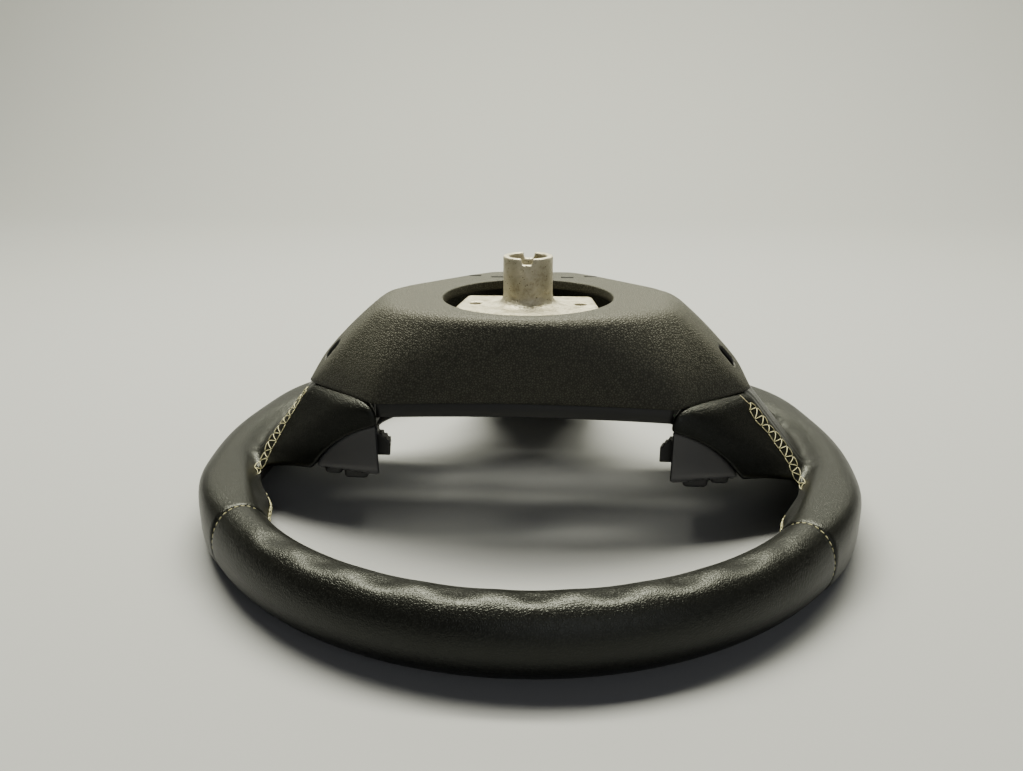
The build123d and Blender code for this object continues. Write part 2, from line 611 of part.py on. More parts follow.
os.makedirs("parts", exist_ok=True)
bezel_right = bezel()
housing_right = switch_housing()
board_right = pod_plate(board_level, BOARD_THICKNESS)
mat_right = pod_plate(mat_level, MAT_THICKNESS)
spring_right = airbag_spring()
side_leather = leather_right()
nodes = {
    "armature": armature(),
    "rear_cover": rear_cover(),
    "leather_top": leather_top(),
    "leather_right": side_leather,
    "leather_left": left_of(side_leather),
    "leather_bottom": leather_bottom(),
    "bezel_right": bezel_right,
    "bezel_left": left_of(bezel_right),
    "switch_housing_right": housing_right,
    "switch_housing_left": left_of(housing_right),
    "switch_board_right": board_right,
    "switch_board_left": left_of(board_right),
    "switch_mat_right": mat_right,
    "switch_mat_left": left_of(mat_right),
    "lower_trim": lower_trim(),
    "airbag_spring_right": spring_right,
    "airbag_spring_left": left_of(spring_right),
    "cover_screws": cover_screws(),
    "switch_screws": switch_screws(),
}
for name in BUTTONS:
    cap = button(name)
    nodes[f"button_right_{name}"] = cap
    nodes[f"button_left_{name}"] = left_of(cap)
for name, solid in nodes.items():
    export_step(solid, f"parts/{name}.step")
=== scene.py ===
import bmesh
import bpy
import numpy as np
from math import cos, degrees, hypot, pi, radians, sin, sqrt
from mathutils import Matrix, Vector


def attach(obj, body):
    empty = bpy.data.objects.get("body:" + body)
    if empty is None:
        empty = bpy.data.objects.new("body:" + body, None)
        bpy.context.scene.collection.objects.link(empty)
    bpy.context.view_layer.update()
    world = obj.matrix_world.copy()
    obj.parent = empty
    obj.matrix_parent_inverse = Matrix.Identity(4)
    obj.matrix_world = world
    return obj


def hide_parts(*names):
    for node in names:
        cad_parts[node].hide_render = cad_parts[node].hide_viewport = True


# Leather car steering wheel lying on its front, airbag out.
# Sizes here are in millimetres, in the frame's own axes; meshes are made in metres.

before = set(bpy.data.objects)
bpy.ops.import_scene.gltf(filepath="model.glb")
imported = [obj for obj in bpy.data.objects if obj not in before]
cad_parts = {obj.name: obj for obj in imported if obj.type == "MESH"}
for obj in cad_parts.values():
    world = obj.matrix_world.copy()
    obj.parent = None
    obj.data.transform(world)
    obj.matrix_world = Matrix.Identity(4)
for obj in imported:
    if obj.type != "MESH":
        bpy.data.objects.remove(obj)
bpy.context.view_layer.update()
mm = 0.001
print("frame loaded:", len(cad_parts), "nodes")


# look of the shot

shot = {
    "place": (20.87, -437.63, 214.36),
    "look": (-0.06607, 0.94482, -0.32086),
    "roll": -0.18,          # degrees
    "lens": 27.03,
    "sensor": 36.0,
    "clipStart": 0.01,      # metres
    "skyColor": (0.80, 0.80, 0.78),
    "skyStrength": 0.10,
}
# place, target and size in metres, power in watts, colour
lights = {
    "ceilingPanel": ((-0.1, 0.32, 1.3), (0, -0.05, 0.05), (1.1, 0.42), 54, (1, 0.975, 0.80)),
    "frontFill": ((0.5, -1.4, 0.7), (0, 0, 0.05), (1.2, 0.8), 4.5, (0.96, 0.97, 1)),
    "wallWash": ((0, 1.1, 2.4), (0, 2.2, 0.7), (3.6, 0.5), 280, (1, 0.98, 0.77)),
}
# floor that runs up into a wall, in metres
sweep = {"front": -6.0, "bend": 1.4, "radius": 0.8, "height": 5.0, "half": 8.0, "turnStep": 6}


def makeCamera():
    data = bpy.data.cameras.new("shotCamera")
    data.sensor_width = shot["sensor"]
    data.sensor_fit = "HORIZONTAL"
    data.lens = shot["lens"]
    data.clip_start = shot["clipStart"]
    camera = bpy.data.objects.new("shotCamera", data)
    turn = Vector(shot["look"]).to_track_quat("-Z", "Y").to_matrix()
    turn = turn @ Matrix.Rotation(radians(shot["roll"]), 3, "Z")
    camera.matrix_world = Matrix.Translation(Vector(shot["place"]) * mm) @ turn.to_4x4()
    bpy.context.scene.collection.objects.link(camera)
    bpy.context.scene.camera = camera


def makeLight(name, place, target, size, power, color):
    data = bpy.data.lights.new(name, "AREA")
    data.shape = "RECTANGLE"
    data.size = size[0]
    data.size_y = size[1]
    data.energy = power
    data.color = color
    light = bpy.data.objects.new(name, data)
    aim = Vector(target) - Vector(place)
    light.matrix_world = Matrix.Translation(place) @ aim.to_track_quat("-Z", "Y").to_matrix().to_4x4()
    bpy.context.scene.collection.objects.link(light)


def makeStage():
    world = bpy.data.worlds.new("studioSky")
    world.use_nodes = True
    back = world.node_tree.nodes["Background"]
    back.inputs["Color"].default_value = (*shot["skyColor"], 1)
    back.inputs["Strength"].default_value = shot["skyStrength"]
    bpy.context.scene.world = world
    for name, settings in lights.items():
        makeLight(name, *settings)
    bend, radius = sweep["bend"], sweep["radius"]
    profile = [(sweep["front"], 0.0), (bend, 0.0)]
    for turn in range(sweep["turnStep"], 91, sweep["turnStep"]):
        profile.append((bend + radius * sin(radians(turn)), radius - radius * cos(radians(turn))))
    profile.append((bend + radius, sweep["height"]))
    points = [(x, y, z) for y, z in profile for x in (-sweep["half"], sweep["half"])]
    faces = [(2 * i, 2 * i + 1, 2 * i + 3, 2 * i + 2) for i in range(len(profile) - 1)]
    meshPiece("studioSweep", points, faces, floorFinish())


# node helpers

# a socket takes another node's output or a plain value
def feed(tree, value, socket):
    if isinstance(value, bpy.types.NodeSocket):
        tree.links.new(value, socket)
    else:
        socket.default_value = value


# settings name a node's options, or its inputs with _ for a space
def addNode(tree, kind, **settings):
    node = tree.nodes.new(kind)
    for key, value in settings.items():
        name = key.replace("_", " ")
        if name in node.inputs:
            feed(tree, value, node.inputs[name])
        else:
            setattr(node, key, value)
    return node


def addMath(tree, operation, *values, kind="ShaderNodeMath", **settings):
    node = addNode(tree, kind, operation=operation, **settings)
    for socket, value in zip(node.inputs, values):
        feed(tree, value, socket)
    return node.outputs[0]


# named inputs with their first values, and named outputs
def addSockets(tree, inputs, outputs):
    for name, kind, *first in inputs:
        socket = tree.interface.new_socket(name, in_out="INPUT", socket_type="NodeSocket" + kind)
        if first:
            socket.default_value = first[0]
    for name, kind in outputs:
        tree.interface.new_socket(name, in_out="OUTPUT", socket_type="NodeSocket" + kind)
    return tree.nodes.new("NodeGroupInput").outputs, tree.nodes.new("NodeGroupOutput").inputs


# shared effect: soft pebbled grain, for hide, moulded plastic and thread, with a mask of the valleys between
# pebbles for painted shade
def makeGrainGroup():
    look = {
        "warpShare": 0.6,       # scales as shares of the pebbles'
        "rippleShare": 2.6,
        "warp": 0.0012,         # metres
        "randomness": 0.9,
        "domeWidth": 0.34,
    }
    group = bpy.data.node_groups.new("pebbleGrain", "ShaderNodeTree")
    inputs = [("Vector", "Vector"), ("Pebbles per Metre", "Float", 900), ("Fine Share", "Float", 0.25)]
    entry, leave = addSockets(group, inputs, [("Height", "Float"), ("Valley", "Float")])
    place, pebbles = entry["Vector"], entry["Pebbles per Metre"]
    slow = addMath(group, "MULTIPLY", pebbles, look["warpShare"])
    warp = addNode(group, "ShaderNodeTexNoise", Vector=place, Scale=slow, Detail=2.0, Roughness=0.5)
    shift = addNode(group, "ShaderNodeMapRange", Value=warp.outputs["Fac"], To_Max=look["warp"])
    moved = addMath(group, "ADD", place, shift.outputs["Result"], kind="ShaderNodeVectorMath")
    cells = addNode(group, "ShaderNodeTexVoronoi", feature="DISTANCE_TO_EDGE", Vector=moved, Scale=pebbles,
                    Randomness=look["randomness"])
    dome = addNode(group, "ShaderNodeMapRange", interpolation_type="SMOOTHSTEP",
                   Value=cells.outputs["Distance"], From_Max=look["domeWidth"]).outputs["Result"]
    fast = addMath(group, "MULTIPLY", pebbles, look["rippleShare"])
    ripple = addNode(group, "ShaderNodeTexNoise", Vector=place, Scale=fast, Detail=3.0, Roughness=0.6)
    both = addNode(group, "ShaderNodeMix", data_type="FLOAT", Factor=entry["Fine Share"], A=dome,
                   B=ripple.outputs["Fac"])
    feed(group, both.outputs["Result"], leave["Height"])
    # valleys between pebbles, where the finishes paint shade into the colour
    feed(group, addMath(group, "SUBTRACT", 1.0, dome), leave["Valley"])
    return group


# shared effect: slow blotches of wear and small specks, from 0 to 1
def makeWearGroup():
    look = {"specks": 2600.0, "speckEdge": (0.66, 0.78), "middle": 0.5}
    group = bpy.data.node_groups.new("slowWear", "ShaderNodeTree")
    inputs = [("Vector", "Vector"), ("Blotches per Metre", "Float", 40), ("Contrast", "Float", 2.0)]
    entry, leave = addSockets(group, inputs, [("Wear", "Float"), ("Specks", "Float")])
    slow = addNode(group, "ShaderNodeTexNoise", Vector=entry["Vector"], Scale=entry["Blotches per Metre"],
                   Detail=5.0, Roughness=0.62)
    centred = addMath(group, "SUBTRACT", slow.outputs["Fac"], look["middle"])
    wear = addMath(group, "MULTIPLY_ADD", centred, entry["Contrast"], look["middle"], use_clamp=True)
    feed(group, wear, leave["Wear"])
    dots = addNode(group, "ShaderNodeTexNoise", Vector=entry["Vector"], Scale=look["specks"], Detail=2.0)
    few = softStep(group, dots.outputs["Fac"], *look["speckEdge"])
    feed(group, few, leave["Specks"])
    return group


def softStep(tree, value, low, high):
    return addNode(tree, "ShaderNodeMapRange", interpolation_type="SMOOTHSTEP", Value=value, From_Min=low,
                   From_Max=high).outputs["Result"]


def ranged(tree, value, low, high):
    return addNode(tree, "ShaderNodeMapRange", Value=value, To_Min=low, To_Max=high).outputs["Result"]


def mixColor(tree, factor, first, second):
    mix = addNode(tree, "ShaderNodeMix", data_type="RGBA", Factor=factor)
    for socket, value in zip(mix.inputs[6:8], (first, second)):     # the node's two colours
        feed(tree, (*value, 1) if isinstance(value, tuple) else value, socket)
    return mix.outputs[2]


def placeGrain(tree, place, pebbles, fineShare):
    return addNode(tree, "ShaderNodeGroup", node_tree=pebbleGrain, Vector=place, Pebbles_per_Metre=pebbles,
                   Fine_Share=fineShare).outputs


def placeWear(tree, place, blotches, contrast):
    return addNode(tree, "ShaderNodeGroup", node_tree=slowWear, Vector=place, Blotches_per_Metre=blotches,
                   Contrast=contrast).outputs


def bumped(tree, shader, height, depth, before=None):
    bump = addNode(tree, "ShaderNodeBump", Strength=1.0, Distance=depth, Height=height)
    if before is not None:
        feed(tree, before, bump.inputs["Normal"])
    feed(tree, bump.outputs["Normal"], shader.inputs["Normal"])
    return bump.outputs["Normal"]


# start of every finish: two colours mixed by wear
def newFinish(name, look):
    material = bpy.data.materials.new(name)
    material.use_nodes = True
    tree = material.node_tree
    place = tree.nodes.new("ShaderNodeTexCoord").outputs["Object"]
    wear = placeWear(tree, place, *look["wear"])["Wear"]
    base = mixColor(tree, wear, *look["colors"])
    return material, tree, tree.nodes["Principled BSDF"], place, wear, base


def coat(tree, shader, **values):
    for key, value in values.items():
        feed(tree, value, shader.inputs[key.replace("_", " ")])


pebbleGrain = makeGrainGroup()
slowWear = makeWearGroup()


# In these looks wear is blotches per metre and contrast, grain is pebbles per metre and the share of
# fine ripple, roughness runs from unworn to worn, and depths are in metres.

# hide of the rim: black with a faint sheen, pebbled, smoother where hands polish it, with painted shade in
# the grain's valleys
def hideFinish():
    look = {
        "colors": ((0.0031, 0.0033, 0.0028), (0.0068, 0.0072, 0.0062)),
        # painted shade: darker colour in the valleys between pebbles
        "valley": (0.002, 0.002, 0.0016),
        "wear": (26.0, 1.6),
        "grain": (900.0, 0.3),
        "depth": 0.0001,
        "roughness": (0.40, 0.30),
        "creases": 150.0,
        "creaseFlat": (1, 1, 4.5),      # creases lie along the rim
        "creaseDepth": 0.00012,
        "specular": 0.3,
        "tint": (0.96, 1, 0.93, 1),
    }
    material, tree, shader, place, wear, base = newFinish("blackHide", look)
    grain = placeGrain(tree, place, *look["grain"])
    flat = addNode(tree, "ShaderNodeMapping", Vector=place, Scale=look["creaseFlat"])
    creases = addNode(tree, "ShaderNodeTexNoise", Vector=flat.outputs["Vector"], Scale=look["creases"],
                      Detail=3.0, Roughness=0.55, Distortion=0.6)
    soft = bumped(tree, shader, creases.outputs["Fac"], look["creaseDepth"])
    bumped(tree, shader, grain["Height"], look["depth"], soft)
    # colour darkened in the grain's valleys as painted shade
    coat(tree, shader, Base_Color=mixColor(tree, grain["Valley"], base, look["valley"]),
         Roughness=ranged(tree, wear, *look["roughness"]), Specular_IOR_Level=look["specular"],
         Specular_Tint=look["tint"])
    return material


# moulded cover: charcoal, deeper grain, with painted shade in the grain's valleys
def coverFinish():
    look = {
        "colors": ((0.046, 0.0462, 0.036), (0.064, 0.064, 0.050)),
        # painted shade: darker colour in the valleys between pebbles
        "valley": (0.017, 0.017, 0.0133),
        "wear": (18.0, 1.2),
        "grain": (760.0, 0.2),
        "depth": 0.0002,
        "roughness": (0.48, 0.58),
        "specular": 0.3,
        "tint": (1, 0.98, 0.88, 1),
    }
    material, tree, shader, place, wear, base = newFinish("grainedCover", look)
    grain = placeGrain(tree, place, *look["grain"])
    bumped(tree, shader, grain["Height"], look["depth"])
    # colour darkened in the grain's valleys as painted shade
    coat(tree, shader, Base_Color=mixColor(tree, grain["Valley"], base, look["valley"]),
         Roughness=ranged(tree, wear, *look["roughness"]), Specular_IOR_Level=look["specular"],
         Specular_Tint=look["tint"])
    return material


# casting: grey with a brown patina, streaks, pits
def castFinish():
    look = {
        "colors": ((0.26, 0.235, 0.165), (0.60, 0.565, 0.45)),
        "wear": (130.0, 3.4),
        "fineWear": (520.0, 2.6),
        "fineColor": (0.46, 0.43, 0.33),
        "fineDepth": 0.0002,
        "speckColor": (0.10, 0.085, 0.05),
        "pits": 420.0,
        "pitEdge": (0.06, 0.2),
        "pitColor": (0.10, 0.085, 0.055),
        "pitDepth": 0.00025,
        "roughness": (0.34, 0.6),
        "metallic": 0.75,
    }
    material, tree, shader, place, wear, base = newFinish("castAlloy", look)
    fine = placeWear(tree, place, *look["fineWear"])
    pits = addNode(tree, "ShaderNodeTexVoronoi", Vector=place, Scale=look["pits"], Randomness=1.0)
    hollow = softStep(tree, pits.outputs["Distance"], *look["pitEdge"])
    base = mixColor(tree, fine["Wear"], base, look["fineColor"])
    base = mixColor(tree, fine["Specks"], base, look["speckColor"])
    dents = bumped(tree, shader, hollow, look["pitDepth"])
    bumped(tree, shader, fine["Wear"], look["fineDepth"], dents)
    coat(tree, shader, Base_Color=mixColor(tree, hollow, look["pitColor"], base),
         Roughness=ranged(tree, fine["Wear"], *look["roughness"]), Metallic=look["metallic"])
    return material


# moulded plastic, board or rubber: plain colour with a very fine grain
def plasticFinish(name, dark, light, roughness, depth):
    look = {"colors": (dark, light), "wear": (34.0, 1.5), "grain": (1900.0, 0.6)}
    material, tree, shader, place, wear, base = newFinish(name, look)
    grain = placeGrain(tree, place, *look["grain"])
    bumped(tree, shader, grain["Height"], depth)
    coat(tree, shader, Base_Color=base, Roughness=ranged(tree, wear, *roughness))
    return material


def steelFinish():
    look = {"colors": ((0.34, 0.34, 0.35), (0.50, 0.50, 0.50)), "wear": (160.0, 1.8),
            "roughness": (0.28, 0.45), "depth": 0.00003, "metallic": 1.0}
    material, tree, shader, place, wear, base = newFinish("platedSteel", look)
    bumped(tree, shader, wear, look["depth"])
    coat(tree, shader, Base_Color=base, Roughness=ranged(tree, wear, *look["roughness"]),
         Metallic=look["metallic"])
    return material


def threadFinish():
    look = {"colors": ((0.37, 0.345, 0.17), (0.56, 0.53, 0.31)), "wear": (300.0, 2.0),
            "grain": (3200.0, 0.4), "roughness": (0.6, 0.75), "depth": 0.0001, "sheen": 0.3}
    material, tree, shader, place, wear, base = newFinish("paleThread", look)
    twist = placeGrain(tree, place, *look["grain"])
    bumped(tree, shader, twist["Height"], look["depth"])
    coat(tree, shader, Base_Color=base, Roughness=ranged(tree, wear, *look["roughness"]),
         Sheen_Weight=look["sheen"])
    return material


def floorFinish():
    look = {"color": (0.235, 0.24, 0.25), "shade": 0.97, "wear": (3.0, 0.6), "roughness": 0.8}
    look["colors"] = (tuple(value * look["shade"] for value in look["color"]), look["color"])
    material, tree, shader, place, wear, base = newFinish("paleFloor", look)
    coat(tree, shader, Base_Color=base, Roughness=look["roughness"])
    return material


# mesh helpers

def meshPiece(name, points, faces, material):
    mesh = bpy.data.meshes.new(name)
    mesh.from_pydata([tuple(p) for p in points], [], [tuple(f) for f in faces])
    mesh.validate()
    mesh.update()
    mesh.shade_smooth()
    piece = bpy.data.objects.new(name, mesh)
    bpy.context.scene.collection.objects.link(piece)
    mesh.materials.append(material)
    return piece


# quads between rings of points; the tube's ends are capped, open, or joined to each other
def tubeFaces(rings, count, ends):
    faces = []
    for i in range(rings if ends == "joined" else rings - 1):
        k = (i + 1) % rings
        for j in range(count):
            after = (j + 1) % count
            faces.append((i * count + j, i * count + after, k * count + after, k * count + j))
    if ends == "capped":
        faces.append(tuple(range(count))[::-1])
        faces.append(tuple(range((rings - 1) * count, rings * count)))
    return faces


# from 0 to 1, slow at both ends
def eased(share):
    share = np.clip(share, 0, 1)
    return share * share * (3 - 2 * share)


def unit(rows):
    return rows / np.linalg.norm(rows, axis=1)[:, None]


# larger or smaller of two distances, with the edge between them rounded
def roundMax(a, b, size):
    near = np.maximum(size - np.abs(a - b), 0) / size
    return np.maximum(a, b) + near * near * size / 4


def roundMin(a, b, size):
    return -roundMax(-a, -b, size)


def slopeOf(field, points, reach=0.05):
    grads = []
    for axis in range(3):
        step = np.zeros(3)
        step[axis] = reach
        ahead = points + step
        behind = points - step
        grads.append((field(*ahead.T) - field(*behind.T)) / (2 * reach))
    return np.stack(grads, 1)


# points moved onto the field's skin, by a limited way in each round
def pulledOnto(field, points, rounds=4, longest=0.8):
    for _ in range(rounds):
        slope = slopeOf(field, points)
        length2 = np.maximum((slope * slope).sum(1), 0.05)
        move = -(field(*points.T) / length2)[:, None] * slope
        size = np.sqrt((move * move).sum(1))
        points = points + move * np.minimum(1, longest / np.maximum(size, 1e-9))[:, None]
    return points


# skin of a form given by a distance field, as even quads; the field is below zero inside
def skinOf(field, low, high, step, smooth=3):
    axes = [np.arange(a, b + step, step) for a, b in zip(low, high)]
    grid = np.meshgrid(*axes, indexing="ij")
    value = field(*[g.ravel() for g in grid]).reshape(grid[0].shape)
    inside = value < 0
    shape = tuple(n - 1 for n in value.shape)

    def corner(array, i, j, k):
        return array[i:i + shape[0], j:j + shape[1], k:k + shape[2]]

    offsets = [(i, j, k) for i in (0, 1) for j in (0, 1) for k in (0, 1)]
    count = sum(corner(inside, *o).astype(np.int8) for o in offsets)
    mixed = (count > 0) & (count < 8)
    cells = np.argwhere(mixed)
    total = np.zeros((len(cells), 3))
    hits = np.zeros(len(cells))
    values = {o: corner(value, *o)[mixed] for o in offsets}
    for a in offsets:
        for axis in range(3):
            if a[axis]:
                continue
            b = tuple(1 if n == axis else a[n] for n in range(3))
            crossing = (values[a] < 0) != (values[b] < 0)
            share = values[a] / np.where(crossing, values[a] - values[b], 1)
            place = np.array(a, float)[None, :].repeat(len(cells), 0)
            place[:, axis] += share
            total += np.where(crossing[:, None], place, 0)
            hits += crossing
    points = (cells + total / hits[:, None]) * step + np.array(low)
    number = -np.ones(shape, np.int64)
    number[mixed] = np.arange(len(cells))
    faces = []
    for axis in range(3):
        u, v = [n for n in range(3) if n != axis]
        first = [slice(1, -1)] * 3
        first[axis] = slice(0, -1)
        second = list(first)
        second[axis] = slice(1, None)
        change = inside[tuple(first)].astype(np.int8) - inside[tuple(second)]
        for sign in (1, -1):
            at = np.argwhere(change == sign) + 1
            at[:, axis] -= 1
            ring = []
            for du, dv in ((-1, -1), (0, -1), (0, 0), (-1, 0)):
                cell = at.copy()
                cell[:, u] += du
                cell[:, v] += dv
                ring.append(number[tuple(cell.T)])
            quads = np.stack(ring, 1)
            turned = (sign > 0) == (axis == 1)
            faces.append(quads[:, ::-1] if turned else quads)
    faces = np.concatenate(faces)
    points = pulledOnto(field, points, 3)
    for _ in range(smooth):
        points = pulledOnto(field, evened(points, faces), 2)
    return points, faces


# each point moved half way to the mean of its neighbours
def evened(points, faces):
    total = np.zeros_like(points)
    number = np.zeros(len(points))
    for i in range(4):
        a = faces[:, i]
        b = faces[:, (i + 1) % 4]
        for start, end in ((a, b), (b, a)):
            for axis in range(3):
                total[:, axis] += np.bincount(start, points[end, axis], len(points))
            number += np.bincount(start, minlength=len(points))
    return points * 0.5 + total / np.maximum(number, 1)[:, None] * 0.5


def skinPiece(name, field, box, step, material, smooth=3):
    points, faces = skinOf(field, *box, step, smooth)
    piece = meshPiece(name, points * mm, faces, material)
    print(name, len(points), "points")
    return piece


def mirrored(piece, name):
    mesh = piece.data.copy()
    mesh.name = name
    mesh.transform(Matrix.Scale(-1, 4, (1, 0, 0)))
    mesh.flip_normals()
    other = bpy.data.objects.new(name, mesh)
    bpy.context.scene.collection.objects.link(other)
    return other


def dressed(piece, body, slot, *nodes):
    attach(piece, body)
    if nodes:
        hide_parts(*nodes)
    return piece


hide = hideFinish()
grainedCover = coverFinish()
castAlloy = castFinish()
# dark and light colour, roughness, depth of grain
satinGrey = plasticFinish("satinGrey", (0.068, 0.068, 0.071), (0.086, 0.085, 0.086), (0.34, 0.44), 0.00002)
blackMould = plasticFinish("blackMould", (0.006, 0.006, 0.006), (0.011, 0.011, 0.010), (0.45, 0.6), 0.00003)
buttonCap = plasticFinish("buttonCap", (0.008, 0.008, 0.009), (0.014, 0.014, 0.015), (0.42, 0.55), 0.00002)
greenBoard = plasticFinish("coatedBoard", (0.010, 0.07, 0.022), (0.02, 0.12, 0.04), (0.3, 0.4), 0.00002)
matRubber = plasticFinish("greyMat", (0.20, 0.20, 0.19), (0.28, 0.28, 0.27), (0.55, 0.7), 0.00003)
platedSteel = steelFinish()
paleThread = threadFinish()
print("finishes made")


# leather rim

rim = {
    "radius": 175.5,        # middle of the section
    "width": 29.0,
    "depth": 37.5,
    "topSeam": 51.75,       # degrees from 12 o'clock
    "lowSeam": 50.0,        # degrees from 6 o'clock
    "seamGap": 0.4,
    "tuckDepth": 0.65,      # hide turned in at a cross seam
    "tuckWidth": 1.1,
    "fingerPitch": 10.4,    # degrees
    "fingerShift": -1.6,
    "fingerDepth": 1.7,
    "fingerMiddle": 94.0,   # degrees round the section, from outwards over the back
    "fingerSpread": 36.0,
    "fingerFade": 6.0,      # degrees of plain hide at each end, and of fading
    "thumbSwell": 6.5,      # inward, beside each side spoke
    "thumbAngle": 25.5,     # degrees from the spoke's middle line
    "thumbSpread": (9.0, 7.0),      # towards the spoke, and away from it
    "thumbSquare": 1.9,     # flatter inner face there
    "squareSpread": 9.0,
    "gripSwell": 1.3,       # slight inward swell of the 12 o'clock grip
    "gripStart": 18.0,      # degrees from the spoke's middle line
    "gripFade": 24.0,
    "swellTop": 15.0,       # level over the rim's middle where the swells end
    "swellFade": 17.0,
    "columns": 300,
    "rows": 96,
}
rimMid = rim["depth"] / 2
rimInner = rim["radius"] - rim["width"] / 2


# hide turns in towards a cross seam, by distance from it
def tuck(distance):
    return rim["tuckDepth"] * np.exp(-(distance / rim["tuckWidth"]) ** 2)


# share of the swell by level: whole on the driver's side, none on the back
def swellShare(z):
    return eased((rimMid + rim["swellTop"] - z) / rim["swellFade"])


# inward swell of the rim, by degrees from the middle of a side spoke
def rimSwell(angle):
    off = angle - rim["thumbAngle"]
    thumb = rim["thumbSwell"] * np.exp(-(off / np.where(off < 0, *rim["thumbSpread"])) ** 2)
    return thumb + rim["gripSwell"] * eased((angle - rim["gripStart"]) / rim["gripFade"])


def makeTopLeather():
    half = rim["topSeam"] - degrees(rim["seamGap"] / 2 / rim["radius"])
    turn = np.linspace(-half, half, rim["columns"] + 1)
    around = np.linspace(0, 360, rim["rows"], endpoint=False)
    t, p = np.meshgrid(turn, around, indexing="ij")
    off = (p - rim["fingerMiddle"] + 180) % 360 - 180
    swing = np.cos(np.radians(off) * 90 / rim["fingerSpread"])
    window = np.where(np.abs(off) < rim["fingerSpread"], swing ** 2, 0)
    ends = np.clip((half - rim["fingerFade"] - np.abs(t)) / rim["fingerFade"], 0, 1)
    wave = (1 - np.cos(2 * pi * (t - rim["fingerShift"]) / rim["fingerPitch"])) / 2
    hollow = rim["fingerDepth"] * wave * window * ends
    seamDistance = np.radians(half - np.abs(t)) * rim["radius"]
    inward = hollow + tuck(seamDistance)
    b = rim["depth"] / 2
    swell = rimSwell(90 - np.abs(t)) * swellShare(rimMid + b * np.sin(np.radians(p)))
    a = (rim["width"] + swell) / 2
    cu, cz = np.cos(np.radians(p)), np.sin(np.radians(p))
    nu, nz = cu / a, cz / b
    length = np.sqrt(nu ** 2 + nz ** 2)
    r = rim["radius"] - swell / 2 + a * cu - inward * nu / length
    z = rimMid + b * cz - inward * nz / length
    angle = np.radians(t - 90)
    points = np.stack([r * np.cos(angle), r * np.sin(angle), z], -1).reshape(-1, 3)
    faces = tubeFaces(rim["columns"] + 1, rim["rows"], "capped")
    faces = [face[:1] + face[:0:-1] for face in faces]      # turned to point outwards
    piece = meshPiece("rimLeatherTop", points * mm, faces, hide)
    dressed(piece, "wheel", "leather", "leather_top")


# leather spokes

spoke = {
    "level": 73.8,          # tucked under the cover's edge
    "backRise": 13.5,       # back face where it meets the rim
    "rimInset": 9.0,
    "rimRise": 3.0,
    "podFront": 30.5,
    "podHeight": 28.5,
    "podArch": 64.0,        # radius of the pods' back
    "podGap": 0.4,
    "podLap": 1.0,          # the gap closes by this along most of the pod
    "podLapHalf": 46.0,
    "podLapFade": 4.0,
    "podRound": 2.0,
    "well": 98.2,           # radius of the airbag's well
    "cornerReach": 2.2,     # well tighter by this towards 12 and 6 o'clock
    "cornerStart": 22.0,
    "cornerFade": 14.0,
    "nearSlant": 0.17,      # sides draw in towards the rim
    "archRise": 1.0,
    "frontRise": 6.5,       # driver's side where it meets the rim
    "frontFall": 1.4,       # power of its curve down to the rim
    "frontReach": 1.25,     # curve goes on past the rim's inner side
    "frontRound": 5.0,
    "ridgeRound": 5.0,
    "sideRound": 10.0,
    "topRound": 7.0,
    "innerRound": 7.0,
    "blend": 7.5,           # into the rim
    "grooveDepth": 0.7,     # along the stitched ridge
    "grooveWidth": 1.6,
    "valleyDepth": 1.5,     # hide pulled in beside the stitches, on the back
    "valleyWidth": 5.0,
    "valleyShift": 1.2,     # in widths from the ridge
    "step": 1.1,            # of the mesh
}
# each side: half width at the cover's edge, shoulder point, half width at the rim, limit
sideSpoke = {
    "inner": 82.0,
    "reach": 127.0,
    "podLength": 37.0,
    "seams": (90 - rim["topSeam"], 90 - rim["lowSeam"]),
    "thumb": 1.0,
    "sides": ((20.0, (81.0, 63.0), 47.0, 58.5), (26.0, (88.0, 50.0), 46.0, 55.0)),
    "box": ((78, -128, -2), (192, 124, 76)),
}
lowerSpoke = {
    "inner": 88.0,
    "reach": 126.0,
    "podLength": 31.0,
    "seams": (rim["lowSeam"], rim["lowSeam"]),
    "thumb": 0.0,
    "sides": ((30.0, (86.0, 50.0), 46.0, 55.0), (30.0, (86.0, 50.0), 46.0, 55.0)),
    "box": ((-148, 84, -2), (148, 192, 76)),
}


# inner end of the spokes: the airbag's round well, a little tighter towards 12 and 6 o'clock
def wellRadius(v):
    share = eased((np.abs(v) - spoke["cornerStart"]) / spoke["cornerFade"])
    return spoke["well"] - spoke["cornerReach"] * share


# distance to the arched bar that a switch pod fills, across its section
def podDistance(u, z, inner, length, outside):
    height, arch = spoke["podHeight"], spoke["podArch"]
    chord = hypot(length, height)
    below = sqrt(arch ** 2 - chord ** 2 / 4)
    centreU = inner + length / 2 - below * height / chord
    centreZ = spoke["podFront"] + height / 2 - below * length / chord
    return np.hypot(u - centreU, z - centreZ) - arch - outside


def rimDistance(u, v, z, thumb):
    turn = np.abs(np.degrees(np.arctan2(v, u)))
    swell = thumb * rimSwell(turn) * swellShare(z)
    square = np.exp(-((turn - rim["thumbAngle"]) / rim["squareSpread"]) ** 2)
    power = 2 + thumb * rim["thumbSquare"] * square
    a = (rim["width"] + swell) / 2
    b = rim["depth"] / 2
    x = np.abs(np.hypot(u, v) - rim["radius"] + swell / 2) + 1e-9
    y = np.abs(z - rimMid) + 1e-9
    k0 = ((x / a) ** power + (y / b) ** power) ** (1 / power)
    slope = k0 ** (1 - power) * np.hypot(x ** (power - 1) / a ** power, y ** (power - 1) / b ** power)
    return (k0 - 1) / np.maximum(slope, 1e-3)


# plane of one spoke side: unit outward direction and a point
def sidePlane(form, index):
    corner, shoulder, rimSide = form["sides"][index][:3]
    sign = -1 if index == 0 else 1
    d = Vector((form["reach"], sign * corner, spoke["level"]))
    e = Vector((shoulder[0], sign * shoulder[1], spoke["level"]))
    k = Vector((rimInner - spoke["rimInset"], sign * rimSide, rimMid + spoke["rimRise"]))
    outward = (e - d).cross(k - d).normalized()
    return (outward if outward.y * sign > 0 else -outward), d


